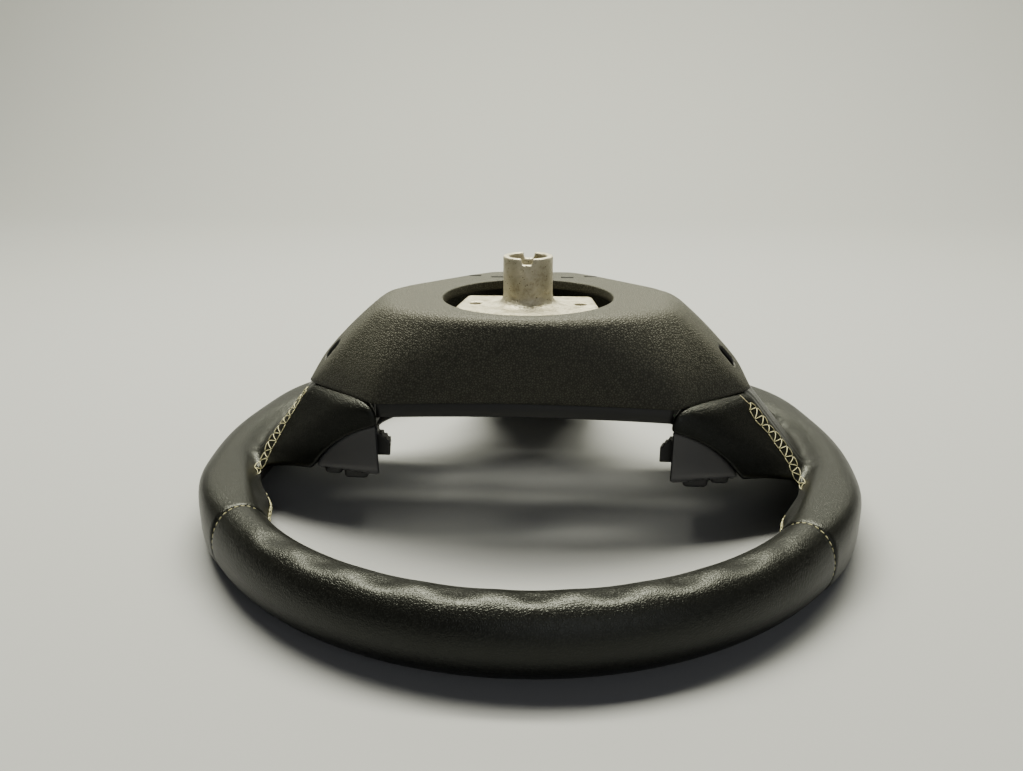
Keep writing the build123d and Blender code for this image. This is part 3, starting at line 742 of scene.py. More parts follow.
def backPlane(form):
    outward = Vector((spoke["level"] - rimMid - spoke["backRise"], 0, rimInner - form["reach"])).normalized()
    return outward, Vector((form["reach"], 0, spoke["level"]))


def planeDistance(u, v, z, outward, point):
    return (u - point.x) * outward.x + (v - point.y) * outward.y + (z - point.z) * outward.z


def frontLevel(form, u):
    podEnd = form["inner"] + form["podLength"]
    foot = rimInner - spoke["rimInset"]
    low = rimMid + spoke["frontRise"]
    share = np.clip((u - podEnd) / (foot - podEnd), 0, spoke["frontReach"])
    arch = spoke["archRise"] * np.sin(pi * np.clip(share, 0, 1))
    return spoke["podFront"] + arch - (spoke["podFront"] - low) * share ** spoke["frontFall"]


# whole padded panel of a spoke and its stretch of rim
def panelField(form):
    back = backPlane(form)
    sides = [sidePlane(form, 0), sidePlane(form, 1)]

    def field(u, v, z):
        ring = rimDistance(u, v, z, form["thumb"])
        turn = np.degrees(np.arctan2(v, u))
        seamA = np.radians(turn + form["seams"][0]) * rim["radius"] - rim["seamGap"] / 2
        seamB = np.radians(form["seams"][1] - turn) * rim["radius"] - rim["seamGap"] / 2
        ring = ring + tuck(seamA) + tuck(seamB)
        dBack = planeDistance(u, v, z, *back)
        body = dBack
        for sign, plane, side in zip((-1, 1), sides, form["sides"]):
            limit = side[3] - spoke["nearSlant"] * (u - form["inner"])
            dSide = roundMax(planeDistance(u, v, z, *plane), sign * v - limit, spoke["sideRound"])
            groove = spoke["grooveDepth"] * np.exp(-((dSide - dBack) / spoke["grooveWidth"]) ** 2)
            past = (dSide - dBack) / spoke["valleyWidth"] + spoke["valleyShift"]
            valley = spoke["valleyDepth"] * np.exp(-past ** 2)
            body = roundMax(body, dSide, spoke["ridgeRound"]) + groove + valley
        body = roundMax(body, z - spoke["level"], spoke["topRound"])
        body = roundMax(body, wellRadius(v) - np.hypot(u, v), spoke["innerRound"])
        body = roundMax(body, frontLevel(form, u) - z, spoke["frontRound"])
        lap = spoke["podLap"] * np.clip((spoke["podLapHalf"] - np.abs(v)) / spoke["podLapFade"], 0, 1)
        pod = -podDistance(u, z, form["inner"], form["podLength"], spoke["podGap"] - lap)
        body = roundMax(body, pod, spoke["podRound"])
        body = np.maximum(body, u - rim["radius"])
        whole = roundMin(ring, body, spoke["blend"])
        return np.maximum(whole, -np.minimum(seamA, seamB))
    return field


def makeSpokeLeather():
    step = spoke["step"]
    right = skinPiece("spokeLeatherRight", panelField(sideSpoke), sideSpoke["box"], step, hide)
    left = mirrored(right, "spokeLeatherLeft")
    field = panelField(lowerSpoke)
    lower = skinPiece("rimLeatherBottom", lambda x, y, z: field(y, x, z), lowerSpoke["box"], step, hide)
    for piece, node in ((right, "leather_right"), (left, "leather_left"), (lower, "leather_bottom")):
        dressed(piece, "wheel", "leather", node)


makeTopLeather()
makeSpokeLeather()
print("leather made")


# rear cover: walls drawn between a base outline and a top outline, a rounded crease, a holed top

cover = {
    "top": [(70, -35), (78.5, -27), (84.5, -6), (84, 17), (76, 31), (44, 66), (27, 80)],
    "skirt": [(81, -57), (124, -24), (131, -4), (129, 26), (88, 50), (50, 86), (30, 126)],
    "base": [(81, -57), (124.5, -22), (128, -16), (128, 26), (88, 50), (50, 86), (30, 126)],
    "topBow": 22.0,
    "baseBow": 1.0,
    "topLevel": 121.0,
    "baseLevel": 73.0,
    "baseArch": 2.2,        # rise of the 12 o'clock edge at its middle
    "archReach": 3.0,       # points this near to that edge rise with it
    "bulge": 3.5,
    "creaseRun": 6.0,       # top face rounded over this width
    "creaseDrop": 0.115,    # share of the wall that is rounded
    "soften": 5.0,          # corners in plan
    "softenBase": 0.6,      # share of that at the base
    "wall": 2.6,
    "hole": 49.0,
    "holeMargin": 2.4,      # flat top kept round the hole
    "mouthRound": 0.8,
    "collarRows": (2.0, 3.6, 5.5),      # below the top
    "spacing": 1.5,
    "fewest": 6,            # points on an edge
    "wallRows": 25,
    "creaseRows": 10,
    "topRows": 12,
    "turnShare": 0.3,       # flanks turn from the base outline to the skirt within this share of the wall
    "slotLevel": 91.0,      # holes in the flanks
    "slotRow": -16.5,
    "slotSize": (15.0, 8.5),
    "slotDepth": 9.0,
    "slotLean": 0.8,        # the hole runs down as it goes in
    "topSlots": ((22.7, 57.0), (37.8, 61.2)),
    "topSlotSize": (8, 4.5, 15),
}
# strip that hangs under the cover's 12 o'clock edge, set back a little; near-black, darker than the cover's
# plastic, as painted shade under that edge
lip = {"inset": 2.4, "thick": 2.6, "drop": 9.0, "rise": 6.0, "endGap": 1.5, "frontRound": 1.2,
       "backBevel": 0.6, "steps": 60}


def coverOutline(corners, bow, counts):
    x0, y0 = corners[0]
    across = [2 * i / counts[0] - 1 for i in range(counts[0])]
    near = [(x0 * share, y0 - bow * (1 - share ** 2)) for share in across]
    right = []
    for (a, b), n in zip(zip(corners, corners[1:]), counts[1:]):
        right += [(a[0] + (b[0] - a[0]) * i / n, a[1] + (b[1] - a[1]) * i / n) for i in range(n)]
    farX, farY = corners[-1]
    far = [(farX * (1 - 2 * i / counts[-1]), farY) for i in range(counts[-1])]
    left = [(-x, y) for x, y in (right + [corners[-1]])[:0:-1]]
    return np.array(near + right + far + left, float)


def softened(ring, width):
    reach = int(3 * width)
    weights = np.exp(-0.5 * (np.arange(-reach, reach + 1) / width) ** 2)
    weights = weights / weights.sum()
    return sum(w * np.roll(ring, k, 0) for w, k in zip(weights, range(-reach, reach + 1)))


def outwardOf(ring):
    along = np.roll(ring, -1, 0) - np.roll(ring, 1, 0)
    return unit(np.stack([along[:, 1], -along[:, 0]], 1))


# points on each edge, by the mean of its lengths at the top and the base
def edgeCounts():
    both = (cover["top"], cover["base"])
    edges = [[corners[0][0] * 2 for corners in both]]
    for i in range(len(cover["top"]) - 1):
        edges.append([hypot(c[i + 1][0] - c[i][0], c[i + 1][1] - c[i][1]) for c in both])
    edges.append([corners[-1][0] * 2 for corners in both])
    return [max(cover["fewest"], round(sum(pair) / 2 / cover["spacing"])) for pair in edges]


def coverRows():
    counts = edgeCounts()
    base = coverOutline(cover["base"], cover["baseBow"], counts)
    skirt = coverOutline(cover["skirt"], cover["baseBow"], counts)
    top = coverOutline(cover["top"], cover["topBow"], counts)
    cornerX, cornerY = cover["base"][0]
    onNear = np.clip(1 - np.abs(base[:, 0]) / cornerX, 0, 1) * (base[:, 1] < cornerY + cover["archReach"])
    baseLevel = cover["baseLevel"] + cover["baseArch"] * np.sin(onNear * pi / 2)

    def wallRow(t):
        low = eased(t / cover["turnShare"])
        ring = (base * (1 - low) + skirt * low) * (1 - t) + top * t
        soften = cover["soften"] * (cover["softenBase"] + (1 - cover["softenBase"]) * t)
        ring = softened(ring, soften / cover["spacing"])
        ring = ring + outwardOf(ring) * cover["bulge"] * 4 * t * (1 - t)
        level = baseLevel * (1 - t) + cover["topLevel"] * t
        return np.concatenate([ring, level[:, None]], 1)

    start = 1 - cover["creaseDrop"]
    rows = [wallRow(t) for t in np.linspace(0, start, cover["wallRows"] + 1)]
    wallTop = rows[-1]
    bend = wallRow(1.0)
    inner = bend.copy()
    inner[:, :2] -= outwardOf(bend[:, :2]) * cover["creaseRun"]
    reach = np.hypot(inner[:, 0], inner[:, 1])
    inner[:, :2] *= (np.maximum(reach, cover["hole"] + cover["holeMargin"]) / reach)[:, None]
    for t in np.linspace(0, 1, cover["creaseRows"] + 1)[1:]:
        rows.append(wallTop * (1 - t) ** 2 + bend * 2 * t * (1 - t) + inner * t ** 2)
    angle = np.arctan2(inner[:, 1], inner[:, 0])

    def holeRow(radius, drop):
        level = 0 * angle + cover["topLevel"] - drop
        return np.stack([np.cos(angle) * radius, np.sin(angle) * radius, level], 1)

    mouthRound = cover["mouthRound"]
    mouth = holeRow(cover["hole"] + mouthRound, 0)
    for t in np.linspace(0, 1, cover["topRows"] + 1)[1:]:
        rows.append(inner * (1 - t) + mouth * t)
    for turn in (30, 60, 90):
        fall = mouthRound * (1 - cos(radians(turn)))
        rows.append(holeRow(cover["hole"] + mouthRound * (1 - sin(radians(turn))), fall))
    for drop in cover["collarRows"]:
        rows.append(holeRow(cover["hole"], drop))
    return rows


def coverLip():
    half = cover["base"][0][0] - lip["endGap"]
    thick, soft, bevel = lip["thick"], lip["frontRound"], lip["backBevel"]
    points = []
    for i in range(lip["steps"] + 1):
        x = -half + 2 * half * i / lip["steps"]
        arch = 1 - (x / half) ** 2
        y = cover["base"][0][1] - cover["baseBow"] * arch + lip["inset"]
        low = cover["baseLevel"] - lip["drop"] + cover["baseArch"] * arch
        high = cover["baseLevel"] + lip["rise"]
        profile = [(0, high), (0, low + soft), (soft / 3, low + soft / 4), (soft, low), (thick - bevel, low),
                   (thick, low + bevel), (thick, high)]
        points += [(x, y + dy, z) for dy, z in profile]
    return points, tubeFaces(lip["steps"] + 1, len(profile), "capped")


# long round-ended block, for cutting, that leans as it goes in
def slotCutter(middle, along, outward, length, width, depth):
    sides = 32
    side = Vector(outward).cross(Vector(along)).normalized()
    along = Vector(along).normalized()
    outward = Vector(outward).normalized()
    ring = []
    for i in range(sides):
        a = 2 * pi * i / sides
        reach = (length - width) / 2 * (1 if cos(a) >= 0 else -1)
        ring.append(Vector(middle) + along * (reach + width / 2 * cos(a)) + side * width / 2 * sin(a))
    through = outward * depth + along * depth * cover["slotLean"]
    points = [p + through for p in ring] + [p - through for p in ring]
    faces = [tuple(range(sides)), tuple(range(2 * sides - 1, sides - 1, -1))]
    faces += [(i, i + sides, (i + 1) % sides + sides, (i + 1) % sides) for i in range(sides)]
    return points, faces


def boxCutter(middle, size):
    corners = [(sx, sy, sz) for sx in (-1, 1) for sy in (-1, 1) for sz in (-1, 1)]
    points = [[m + c * s / 2 for m, c, s in zip(middle, corner, size)] for corner in corners]
    faces = [(0, 1, 3, 2), (4, 6, 7, 5), (0, 4, 5, 1), (2, 3, 7, 6), (0, 2, 6, 4), (1, 5, 7, 3)]
    return points, faces


def joinedShells(shells):
    points, faces = [], []
    for shellPoints, shellFaces in shells:
        start = len(points)
        points += [tuple(p) for p in shellPoints]
        faces += [tuple(start + i for i in face) for face in shellFaces]
    return points, faces


# modifiers become the piece's plain mesh
def settled(piece):
    evaluated = piece.evaluated_get(bpy.context.evaluated_depsgraph_get())
    mesh = bpy.data.meshes.new_from_object(evaluated)
    piece.modifiers.clear()
    old = piece.data
    piece.data = mesh
    mesh.name = piece.name
    bpy.data.meshes.remove(old)


def cutAwayShadedWalls(piece, shells):
    points, faces = joinedShells(shells)
    # the cut walls take the cutter's near-black blackMould: painted shade inside the holes
    cutter = meshPiece("cutter", np.array(points, float) * mm, faces, blackMould)
    cut = piece.modifiers.new("cut", "BOOLEAN")
    cut.operation = "DIFFERENCE"
    cut.solver = "EXACT"
    cut.material_mode = "TRANSFER"
    cut.object = cutter
    settled(piece)
    bpy.data.objects.remove(cutter)


# point of the right flank at its hole, the way up the flank and the way out of it
def flankPlace(rows):
    apart, leastX = 3, 60       # neighbours that give the directions; points further in are passed over
    share = (cover["slotLevel"] - cover["baseLevel"]) / (cover["topLevel"] - cover["baseLevel"])
    i = round(cover["wallRows"] * share / (1 - cover["creaseDrop"]))
    ring = rows[i]
    j = int(np.argmin(np.abs(ring[:, 1] - cover["slotRow"]) + 1000 * (ring[:, 0] < leastX)))
    along = Vector(ring[j + apart] - ring[j - apart])
    slope = Vector(rows[i + apart][j] - rows[i - apart][j]).normalized()
    return Vector(ring[j]), slope, along.cross(slope).normalized()


def makeCover():
    rows = coverRows()
    faces = tubeFaces(len(rows), len(rows[0]), "open")
    piece = meshPiece("rearCover", np.concatenate(rows) * mm, faces, grainedCover)
    shell = piece.modifiers.new("wall", "SOLIDIFY")
    shell.thickness = cover["wall"] * mm
    shell.offset = -1
    settled(piece)
    place, slope, outward = flankPlace(rows)
    cutters = []
    for sign in (1, -1):
        turned = [Vector((sign * d.x, d.y, d.z)) for d in (place, slope, outward)]
        cutters.append(slotCutter(*turned, *cover["slotSize"], cover["slotDepth"]))
        for x, y in cover["topSlots"]:
            cutters.append(boxCutter((sign * x, y, cover["topLevel"]), cover["topSlotSize"]))
    # slots in the flanks and top get near-black walls, painted shade inside them
    cutAwayShadedWalls(piece, cutters)
    lipPoints, lipFaces = coverLip()
    # the strip is near-black blackMould, darker than the cover's grained plastic: painted shade under its
    # edge
    strip = meshPiece("coverLip", np.array(lipPoints) * mm, lipFaces, blackMould)
    dressed(strip, "wheel", "grained_plastic")
    dressed(piece, "wheel", "grained_plastic", "rear_cover")


makeCover()
print("cover made")


# hub casting: boss, plate with its skirt, and the arms and ring that run into the padding

hub = {
    "outline": [(38.5, 20), (42, -10), (27, -38), (-27, -38), (-42, -10), (-38.5, 20)],
    "corner": 5.0,
    "cornerGrow": 0.8,      # share of the corner given back round the inset outline
    "top": 116.3,
    "plate": 7.0,
    "skirt": 6.0,
    "low": 94.0,
    "edge": 2.0,
    "hollowEdge": 1.5,
    "boss": 14.2,
    "bossTop": 144.2,
    "bossLow": 108.0,
    "bossEdge": 0.9,
    "flare": 7.0,
    "bore": 10.8,
    "boreFloor": 126.2,
    "splineTip": 8.5,
    "splineDepth": 1.2,
    "splineSlope": 0.6,     # evens the distance over the teeth
    "teeth": 30,
    "splineFloor": 112.8,
    "boltHole": 6.25,
    "notch": 5.6,
    "notchDepth": 3.4,
    "notchLean": 0.15,
    "notchRound": 1.6,
    "puller": 3.5,
    "pullerReach": 30.5,
    "pullerFloor": 104.0,
    "edges": {"bore": 0.9, "spline": 0.4, "bolt": 0.4, "notch": 0.8, "puller": 0.8},
    "box": ((-46, -42, 92), (46, 24, 146)),
    "step": 0.7,            # of the mesh
}
arm = {
    "level": 98.0,
    "thick": 8.0,
    "width": 26.0,
    "offset": 6.0,
    "gap": 3.0,             # under the cover
    "core": (12.0, 14.0),   # section of the ring in the rim
    "start": 33.0,
    "lowerStart": 14.0,
    "footRise": 0.9,        # over the rim's middle, in core depths
    "endRise": 0.2,
    "edge": 2.2,
    "ringSteps": 120,
}


def outlineDistance(x, y, corners):
    best = np.full(x.shape, 1e9)
    inside = np.zeros(x.shape, bool)
    for (ax, ay), (bx, by) in zip(corners, corners[1:] + corners[:1]):
        ex, ey = bx - ax, by - ay
        share = np.clip(((x - ax) * ex + (y - ay) * ey) / (ex * ex + ey * ey), 0, 1)
        best = np.minimum(best, np.hypot(x - ax - ex * share, y - ay - ey * share))
        crosses = ((ay > y) != (by > y)) & (x < (bx - ax) * (y - ay) / (by - ay + 1e-12) + ax)
        inside ^= crosses
    return np.where(inside, -best, best)


def hubField(x, y, z):
    r = np.hypot(x, y)
    inset = [(px * (1 - hub["corner"] / hypot(px, py)), py * (1 - hub["corner"] / hypot(px, py)))
             for px, py in hub["outline"]]
    plan = outlineDistance(x, y, inset) - hub["corner"] * hub["cornerGrow"]
    level = np.abs(z - (hub["top"] + hub["low"]) / 2) - (hub["top"] - hub["low"]) / 2
    block = roundMax(plan, level, hub["edge"])
    hollow = np.maximum(plan + hub["skirt"], z - (hub["top"] - hub["plate"]))
    block = roundMax(block, -hollow, hub["hollowEdge"])
    boss = roundMax(r - hub["boss"], z - hub["bossTop"], hub["bossEdge"])
    boss = np.maximum(boss, hub["bossLow"] - z)
    whole = roundMin(block, boss, hub["flare"])
    turn = np.arctan2(y, x)
    teeth = hub["splineTip"] + hub["splineDepth"] * (0.5 + 0.5 * np.cos(turn * hub["teeth"]))
    bore = np.maximum(r - hub["bore"], hub["boreFloor"] - z)
    spline = np.maximum((r - teeth) * hub["splineSlope"], hub["splineFloor"] - z)
    bolt = np.maximum(r - hub["boltHole"], z - hub["bossTop"])
    rise = z - hub["bossTop"] + hub["notchDepth"]
    notch = roundMax(np.abs(x) - hub["notch"] / 2 - hub["notchLean"] * rise, -rise, hub["notchRound"])
    puller = np.hypot(np.abs(x) - hub["pullerReach"], y) - hub["puller"]
    puller = np.maximum(puller, hub["pullerFloor"] - z)
    rooms = {"bore": bore, "spline": spline, "bolt": bolt, "notch": notch, "puller": puller}
    for name, room in rooms.items():
        whole = roundMax(whole, -room, hub["edges"][name])
    return whole


# outward direction of a cover wall, across and up
def flankNormal(topReach, baseReach):
    drop = cover["topLevel"] - cover["baseLevel"]
    run = baseReach - topReach
    return drop / hypot(drop, run), run / hypot(drop, run)


def armPath(start, topReach, baseReach):
    nu, nz = flankNormal(topReach, baseReach)
    flank = nu * topReach + nz * cover["topLevel"] - cover["wall"] - arm["gap"] - arm["thick"] / 2
    low = rimMid + arm["core"][1] * arm["footRise"]
    end = rimMid + arm["core"][1] * arm["endRise"]
    bend = (flank - nz * arm["level"]) / nu
    foot = (flank - nz * low) / nu
    return [(start, arm["level"]), (bend, arm["level"]), (foot, low), (rim["radius"], end)]


# bar of even thickness along a path in one upright plane
def barShell(path, thick, across, place):
    left, right = [], []
    for i, (u, z) in enumerate(path):
        steps = []
        for a, b in zip(path[max(i - 1, 0):i + 1], path[max(i, 1):i + 2]):
            length = hypot(b[0] - a[0], b[1] - a[1])
            steps.append(((b[0] - a[0]) / length, (b[1] - a[1]) / length))
        (a0, a1), (b0, b1) = steps[0], steps[-1]
        share = thick / 2 / (1 + a0 * b0 + a1 * b1)
        left.append((u - (a1 + b1) * share, z + (a0 + b0) * share))
        right.append((u + (a1 + b1) * share, z - (a0 + b0) * share))
    ring = left + right[::-1]
    n = len(ring)
    points = [place(u, v, z) for v in across for u, z in ring]
    faces = []
    for i in range(len(left) - 1):
        j = n - 1 - i
        faces.append((i, i + 1, j - 1, j))
        faces.append((n + i, n + j, n + j - 1, n + i + 1))
    faces += [(i, n + i, n + (i + 1) % n, (i + 1) % n) for i in range(n)]
    return points, faces


def ringShell():
    wide, deep = arm["core"]
    corners = [(wide / 2, deep / 2), (-wide / 2, deep / 2), (-wide / 2, -deep / 2), (wide / 2, -deep / 2)]
    points = []
    for i in range(arm["ringSteps"]):
        a = 2 * pi * i / arm["ringSteps"]
        for du, dz in corners:
            points.append(((rim["radius"] + du) * cos(a), (rim["radius"] + du) * sin(a), rimMid + dz))
    return points, tubeFaces(arm["ringSteps"], len(corners), "joined")


def sideArmPath():
    return armPath(arm["start"], cover["top"][1][0], cover["base"][1][0])


def makeCasting():
    piece = skinPiece("hubCasting", hubField, hub["box"], hub["step"], castAlloy, smooth=2)
    dressed(piece, "wheel", "cast_alloy", "armature")
    half = arm["width"] / 2
    side = sideArmPath()
    lower = armPath(arm["lowerStart"], cover["top"][-1][1], cover["base"][-1][1])
    across = (arm["offset"] - half, arm["offset"] + half)
    shells = [barShell(side, arm["thick"], across, lambda u, v, z: (u, v, z)),
              barShell(side, arm["thick"], across, lambda u, v, z: (-u, v, z)),
              barShell(lower, arm["thick"], (-half, half), lambda u, v, z: (v, u, z)), ringShell()]
    points, faces = joinedShells(shells)
    arms = meshPiece("castArms", np.array(points, float) * mm, faces, castAlloy)
    arms.data.shade_flat()
    outwardFaces(arms)
    soft = arms.modifiers.new("castEdges", "BEVEL")
    soft.width = arm["edge"] * mm
    soft.segments = 3
    settled(arms)
    dressed(arms, "wheel", "cast_alloy", "armature")


def outwardFaces(piece):
    work = bmesh.new()
    work.from_mesh(piece.data)
    bmesh.ops.remove_doubles(work, verts=work.verts, dist=1e-6)
    bmesh.ops.recalc_face_normals(work, faces=work.faces)
    work.to_mesh(piece.data)
    work.free()


makeCasting()
print("casting made")


# switch pods

pod = {
    "near": 54.0,
    "far": 40.0,
    "slant": 0.2,
    "wall": 2.0,
    "roll": 7.5,            # edge round the front
    "sideRound": 1.6,
    "roomRound": 0.8,
    "innerEdge": 0.6,
    "wellEdge": 0.7,
    "windowEdge": 0.9,
    # the front stands out by the first value up to the first row, and not at all from the second row on
    "stand": (2.9, -30.0, 10.0),
    # middle, row, width, length and height
    "buttons": {"inner": (95.0, -37.5, 14.0, 21.0, 3.4), "outer": (108.6, -36.5, 10.0, 19.0, 1.8),
                "lower": (104.5, -15.0, 15.0, 18.0, 2.0)},
    "buttonFit": 0.35,
    "buttonRound": 2.4,     # corners in plan
    "capRound": 2.6,
    "dish": 0.6,
    "dishMargin": 1.5,
    "capLap": 0.5,          # cap runs into its flange
    "wellGap": 2.4,
    "flange": 0.6,
    "flangeDepth": 1.5,
    "press": 1.0,           # travel of a button
    "fit": 0.3,
    "bezelBox": ((80, -56, 25.6), (122, 42, 61)),
    "housingBox": ((66, -54, 36.5), (119, 40, 78)),
    "step": 0.8,            # of the meshes
    "buttonStep": 0.7,
    "buttonSpare": (2.0, 1.5, 5.5),     # room in a button's box: beside it, before its face, behind the front
}
housing = {
    "level": 38.2,
    "wall": 1.8,
    "sideRound": 1.0,
    "edge": 0.4,
    "tabEdge": 0.5,
    "socketSteps": [(74.5, 48.5), (76.2, 50.5), (78.3, 52.5), (81.0, 56.0)],    # face and top of each
    "socketLow": 39.2,
    "socketFall": 0.3,      # its top falls and its face draws back away from 12 o'clock
    "socketBack": 0.2,
    "socketNear": 48.0,
    "socketLength": 22.0,
    "socketReach": 40.0,
    "ribDepth": 0.35,
    "ribPitch": 3.6,
    "mouthWall": 1.5,
    "mouthFront": 4.0,      # cut starts this far before the face
    "mouthDepth": 8.0,
    "mouthFar": 10.5,       # solid end of the socket
    "tab": 97.0,            # bracket that the screw holds
    "tabRows": (-1.0, 13.0),
    "tabTop": 76.0,
    "tabThick": 2.5,
    "tabReach": 28.0,
    "footRise": 7.2,
    "foot": (1.6, 3.4),     # to each side of the tab
    "screw": (74.25, 6.0),
    "screwHole": 2.2,
    "screwFloor": 70.0,
}


def wellDistance(u, v, spare):
    return np.hypot(u, v) - wellRadius(v) - spare


def podBody(u, v, z, inset, edge):
    inner, length = sideSpoke["inner"], sideSpoke["podLength"]
    body = podDistance(u, z, inner, length, -inset)
    slant = (pod["slant"] * (u - inner) - (v + pod["near"] - inset)) / sqrt(1 + pod["slant"] ** 2)
    body = roundMax(body, slant, edge)
    return roundMax(body, v - pod["far"] + inset, edge)


def buttonPlan(u, v, name, wider):
    place, row, width, length = pod["buttons"][name][:4]
    edge = pod["buttonRound"]
    plan = roundMax(np.abs(u - place) - width / 2 - wider, np.abs(v - row) - length / 2 - wider, edge)
    return roundMax(plan, -wellDistance(u, v, pod["wellGap"] - wider), edge)


# level of the pods' front: it runs into the leather's towards 6 o'clock
def podFrontAt(v):
    most, near, far = pod["stand"]
    return spoke["podFront"] - most * np.clip((far - v) / (far - near), 0, 1)


def bezelField(u, v, z):
    front = podFrontAt(v)
    shell = roundMax(podBody(u, v, z, 0, pod["sideRound"]), front - z, pod["roll"])
    room = np.maximum(podBody(u, v, z, pod["wall"], pod["roomRound"]), front + pod["wall"] - z)
    shell = roundMax(shell, -room, pod["innerEdge"])
    shell = roundMax(shell, -wellDistance(u, v, 0), pod["wellEdge"])
    for name in pod["buttons"]:
        window = np.maximum(buttonPlan(u, v, name, pod["buttonFit"]), z - front - 3 * pod["wall"])
        shell = roundMax(shell, -window, pod["windowEdge"])
    return shell


def brick(u, v, z, low, high, edge=0.8):
    gaps = [np.abs(value - (a + b) / 2) - (b - a) / 2 for value, a, b in zip((u, v, z), low, high)]
    return roundMax(roundMax(gaps[0], gaps[1], edge), gaps[2], edge)


def housingField(u, v, z):
    low, wall, edge = housing["level"], housing["wall"], housing["sideRound"]
    inset = pod["wall"] + pod["fit"]
    room = np.maximum(podBody(u, v, z, inset, edge), low - z)
    inside = np.maximum(podBody(u, v, z, inset + wall, edge), -wellDistance(u, v, wall))
    body = roundMax(np.maximum(room, -wellDistance(u, v, 0)), -inside, pod["innerEdge"])
    near = -housing["socketNear"]
    far = near + housing["socketLength"]
    floor = housing["socketLow"]
    fall, back = housing["socketFall"] * (v - near), housing["socketBack"] * (v - near)

    def leaning(least, most):
        top = (z + fall - most[2]) / hypot(1, housing["socketFall"])
        return np.maximum(brick(u - back, v, z, least, most), top)

    socket = np.full(u.shape, 1e3)
    for face, top in housing["socketSteps"]:
        step = leaning((face, near, floor), (face + housing["socketReach"], far, top))
        socket = np.minimum(socket, step)
    ribs = housing["ribDepth"] * np.clip(np.cos(2 * pi * (v - near) / housing["ribPitch"]), 0, 1)
    socket = np.minimum(np.maximum(socket + ribs, wellDistance(u, v, -pod["fit"])),
                        np.maximum(np.maximum(socket, room), wellDistance(u, v, wall / 2)))
    face, top = housing["socketSteps"][0]
    thin = housing["mouthWall"]
    mouth = leaning((face - housing["mouthFront"], near + thin, floor + thin),
                    (face + housing["mouthDepth"], far - housing["mouthFar"], top - thin))
    body = roundMin(body, roundMax(socket, -mouth, housing["edge"]), housing["edge"])
    tab, top, thick = housing["tab"], housing["tabTop"], housing["tabThick"]
    start, end = housing["tabRows"]
    inward, outward = housing["foot"]
    bracket = [((tab - thick, start, low), (tab, end, top)),
               ((tab - inward, start, low), (tab + outward, end, low + housing["footRise"])),
               ((tab - housing["tabReach"], start, top - thick), (tab, end, top))]
    for a, b in bracket:
        body = roundMin(body, brick(u, v, z, a, b), housing["tabEdge"])
    screwU, screwV = housing["screw"]
    screwHole = np.hypot(u - screwU, v - screwV) - housing["screwHole"]
    return roundMax(body, -np.maximum(screwHole, housing["screwFloor"] - z), housing["edge"])


def buttonField(name):
    place, row, width, length, height = pod["buttons"][name]

    def field(u, v, z):
        face = podFrontAt(v) - height
        top = podFrontAt(v) + pod["wall"]
        across = np.clip(1 - ((u - place) / (width / 2 - pod["dishMargin"])) ** 2, 0, 1)
        along = np.clip(1 - ((v - row) / (length / 2 - pod["dishMargin"])) ** 2, 0, 1)
        dish = pod["dish"] * along * across
        cap = roundMax(buttonPlan(u, v, name, 0), face + dish - z, pod["capRound"])
        cap = np.maximum(cap, z - top - pod["capLap"])
        middle = top + pod["flangeDepth"] / 2
        level = np.abs(z - middle) - pod["flangeDepth"] / 2
        plate = np.maximum(buttonPlan(u, v, name, pod["flange"]), level)
        room = podBody(u, v, z + pod["press"], pod["wall"] + pod["fit"], pod["roomRound"])
        return np.minimum(cap, np.maximum(plate, room))
    return field


def makePods():
    bezel = skinPiece("bezelRight", bezelField, pod["bezelBox"], pod["step"], satinGrey, smooth=2)
    case = skinPiece("switchHousingRight", housingField, pod["housingBox"], pod["step"], blackMould, smooth=2)
    pairs = [(bezel, "bezel", "satin_grey", "bezel"),
             (case, "switchHousing", "black_plastic", "switch_housing")]
    for right, name, slot, node in pairs:
        left = mirrored(right, name + "Left")
        dressed(right, "wheel", slot, node + "_right")
        dressed(left, "wheel", slot, node + "_left")
    beside, before, behind = pod["buttonSpare"]
    for name, (place, row, width, length, height) in pod["buttons"].items():
        near, far = row - length / 2, row + length / 2
        low = (place - width / 2 - beside, near - beside, podFrontAt(near) - height - before)
        high = (place + width / 2 + beside, far + beside, podFrontAt(far) + behind)
        right = skinPiece(f"{name}ButtonRight", buttonField(name), (low, high), pod["buttonStep"],
                          buttonCap, smooth=1)
        left = mirrored(right, f"{name}ButtonLeft")
        for piece, side in ((right, "right"), (left, "left")):
            dressed(piece, f"button_{side}_{name}", "button_plastic", f"button_{side}_{name}")


# plain trim on the lower spoke, shaped like a pod without switches

trim = {"half": 36.0, "edge": 3.6, "sideRound": 1.4, "innerEdge": 0.6,
        "box": ((-38, 86, 28.5), (38, 121, 61)), "step": 0.9}


def trimField(x, y, z):
    inner, length, half = lowerSpoke["inner"], lowerSpoke["podLength"], trim["half"]
    front = spoke["podFront"]
    body = podDistance(y, z, inner, length, 0)
    body = roundMax(body, np.abs(x) - half, trim["sideRound"])
    body = roundMax(body, front - z, trim["edge"])
    room = np.maximum(podDistance(y, z, inner, length, -pod["wall"]), np.abs(x) - half + pod["wall"])
    room = np.maximum(room, front + pod["wall"] - z)
    body = roundMax(body, -room, trim["innerEdge"])
    return roundMax(body, spoke["well"] - np.hypot(x, y), trim["innerEdge"])


def makeTrim():
    piece = skinPiece("lowerTrim", trimField, trim["box"], trim["step"], satinGrey, smooth=2)
    dressed(piece, "wheel", "satin_grey", "lower_trim")


makePods()
makeTrim()
for name, finish in (("switch_board", greenBoard), ("switch_mat", matRubber)):
    for side in ("left", "right"):
        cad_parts[f"{name}_{side}"].data.materials[0] = finish
print("pods made")


# node trees for thread, stitches and copies

def newTree(name, *inputs):
    tree = bpy.data.node_groups.new(name, "GeometryNodeTree")
    sockets = [("Geometry", "Geometry"), *inputs, ("Material", "Material")]
    return tree, *addSockets(tree, sockets, [("Geometry", "Geometry")])


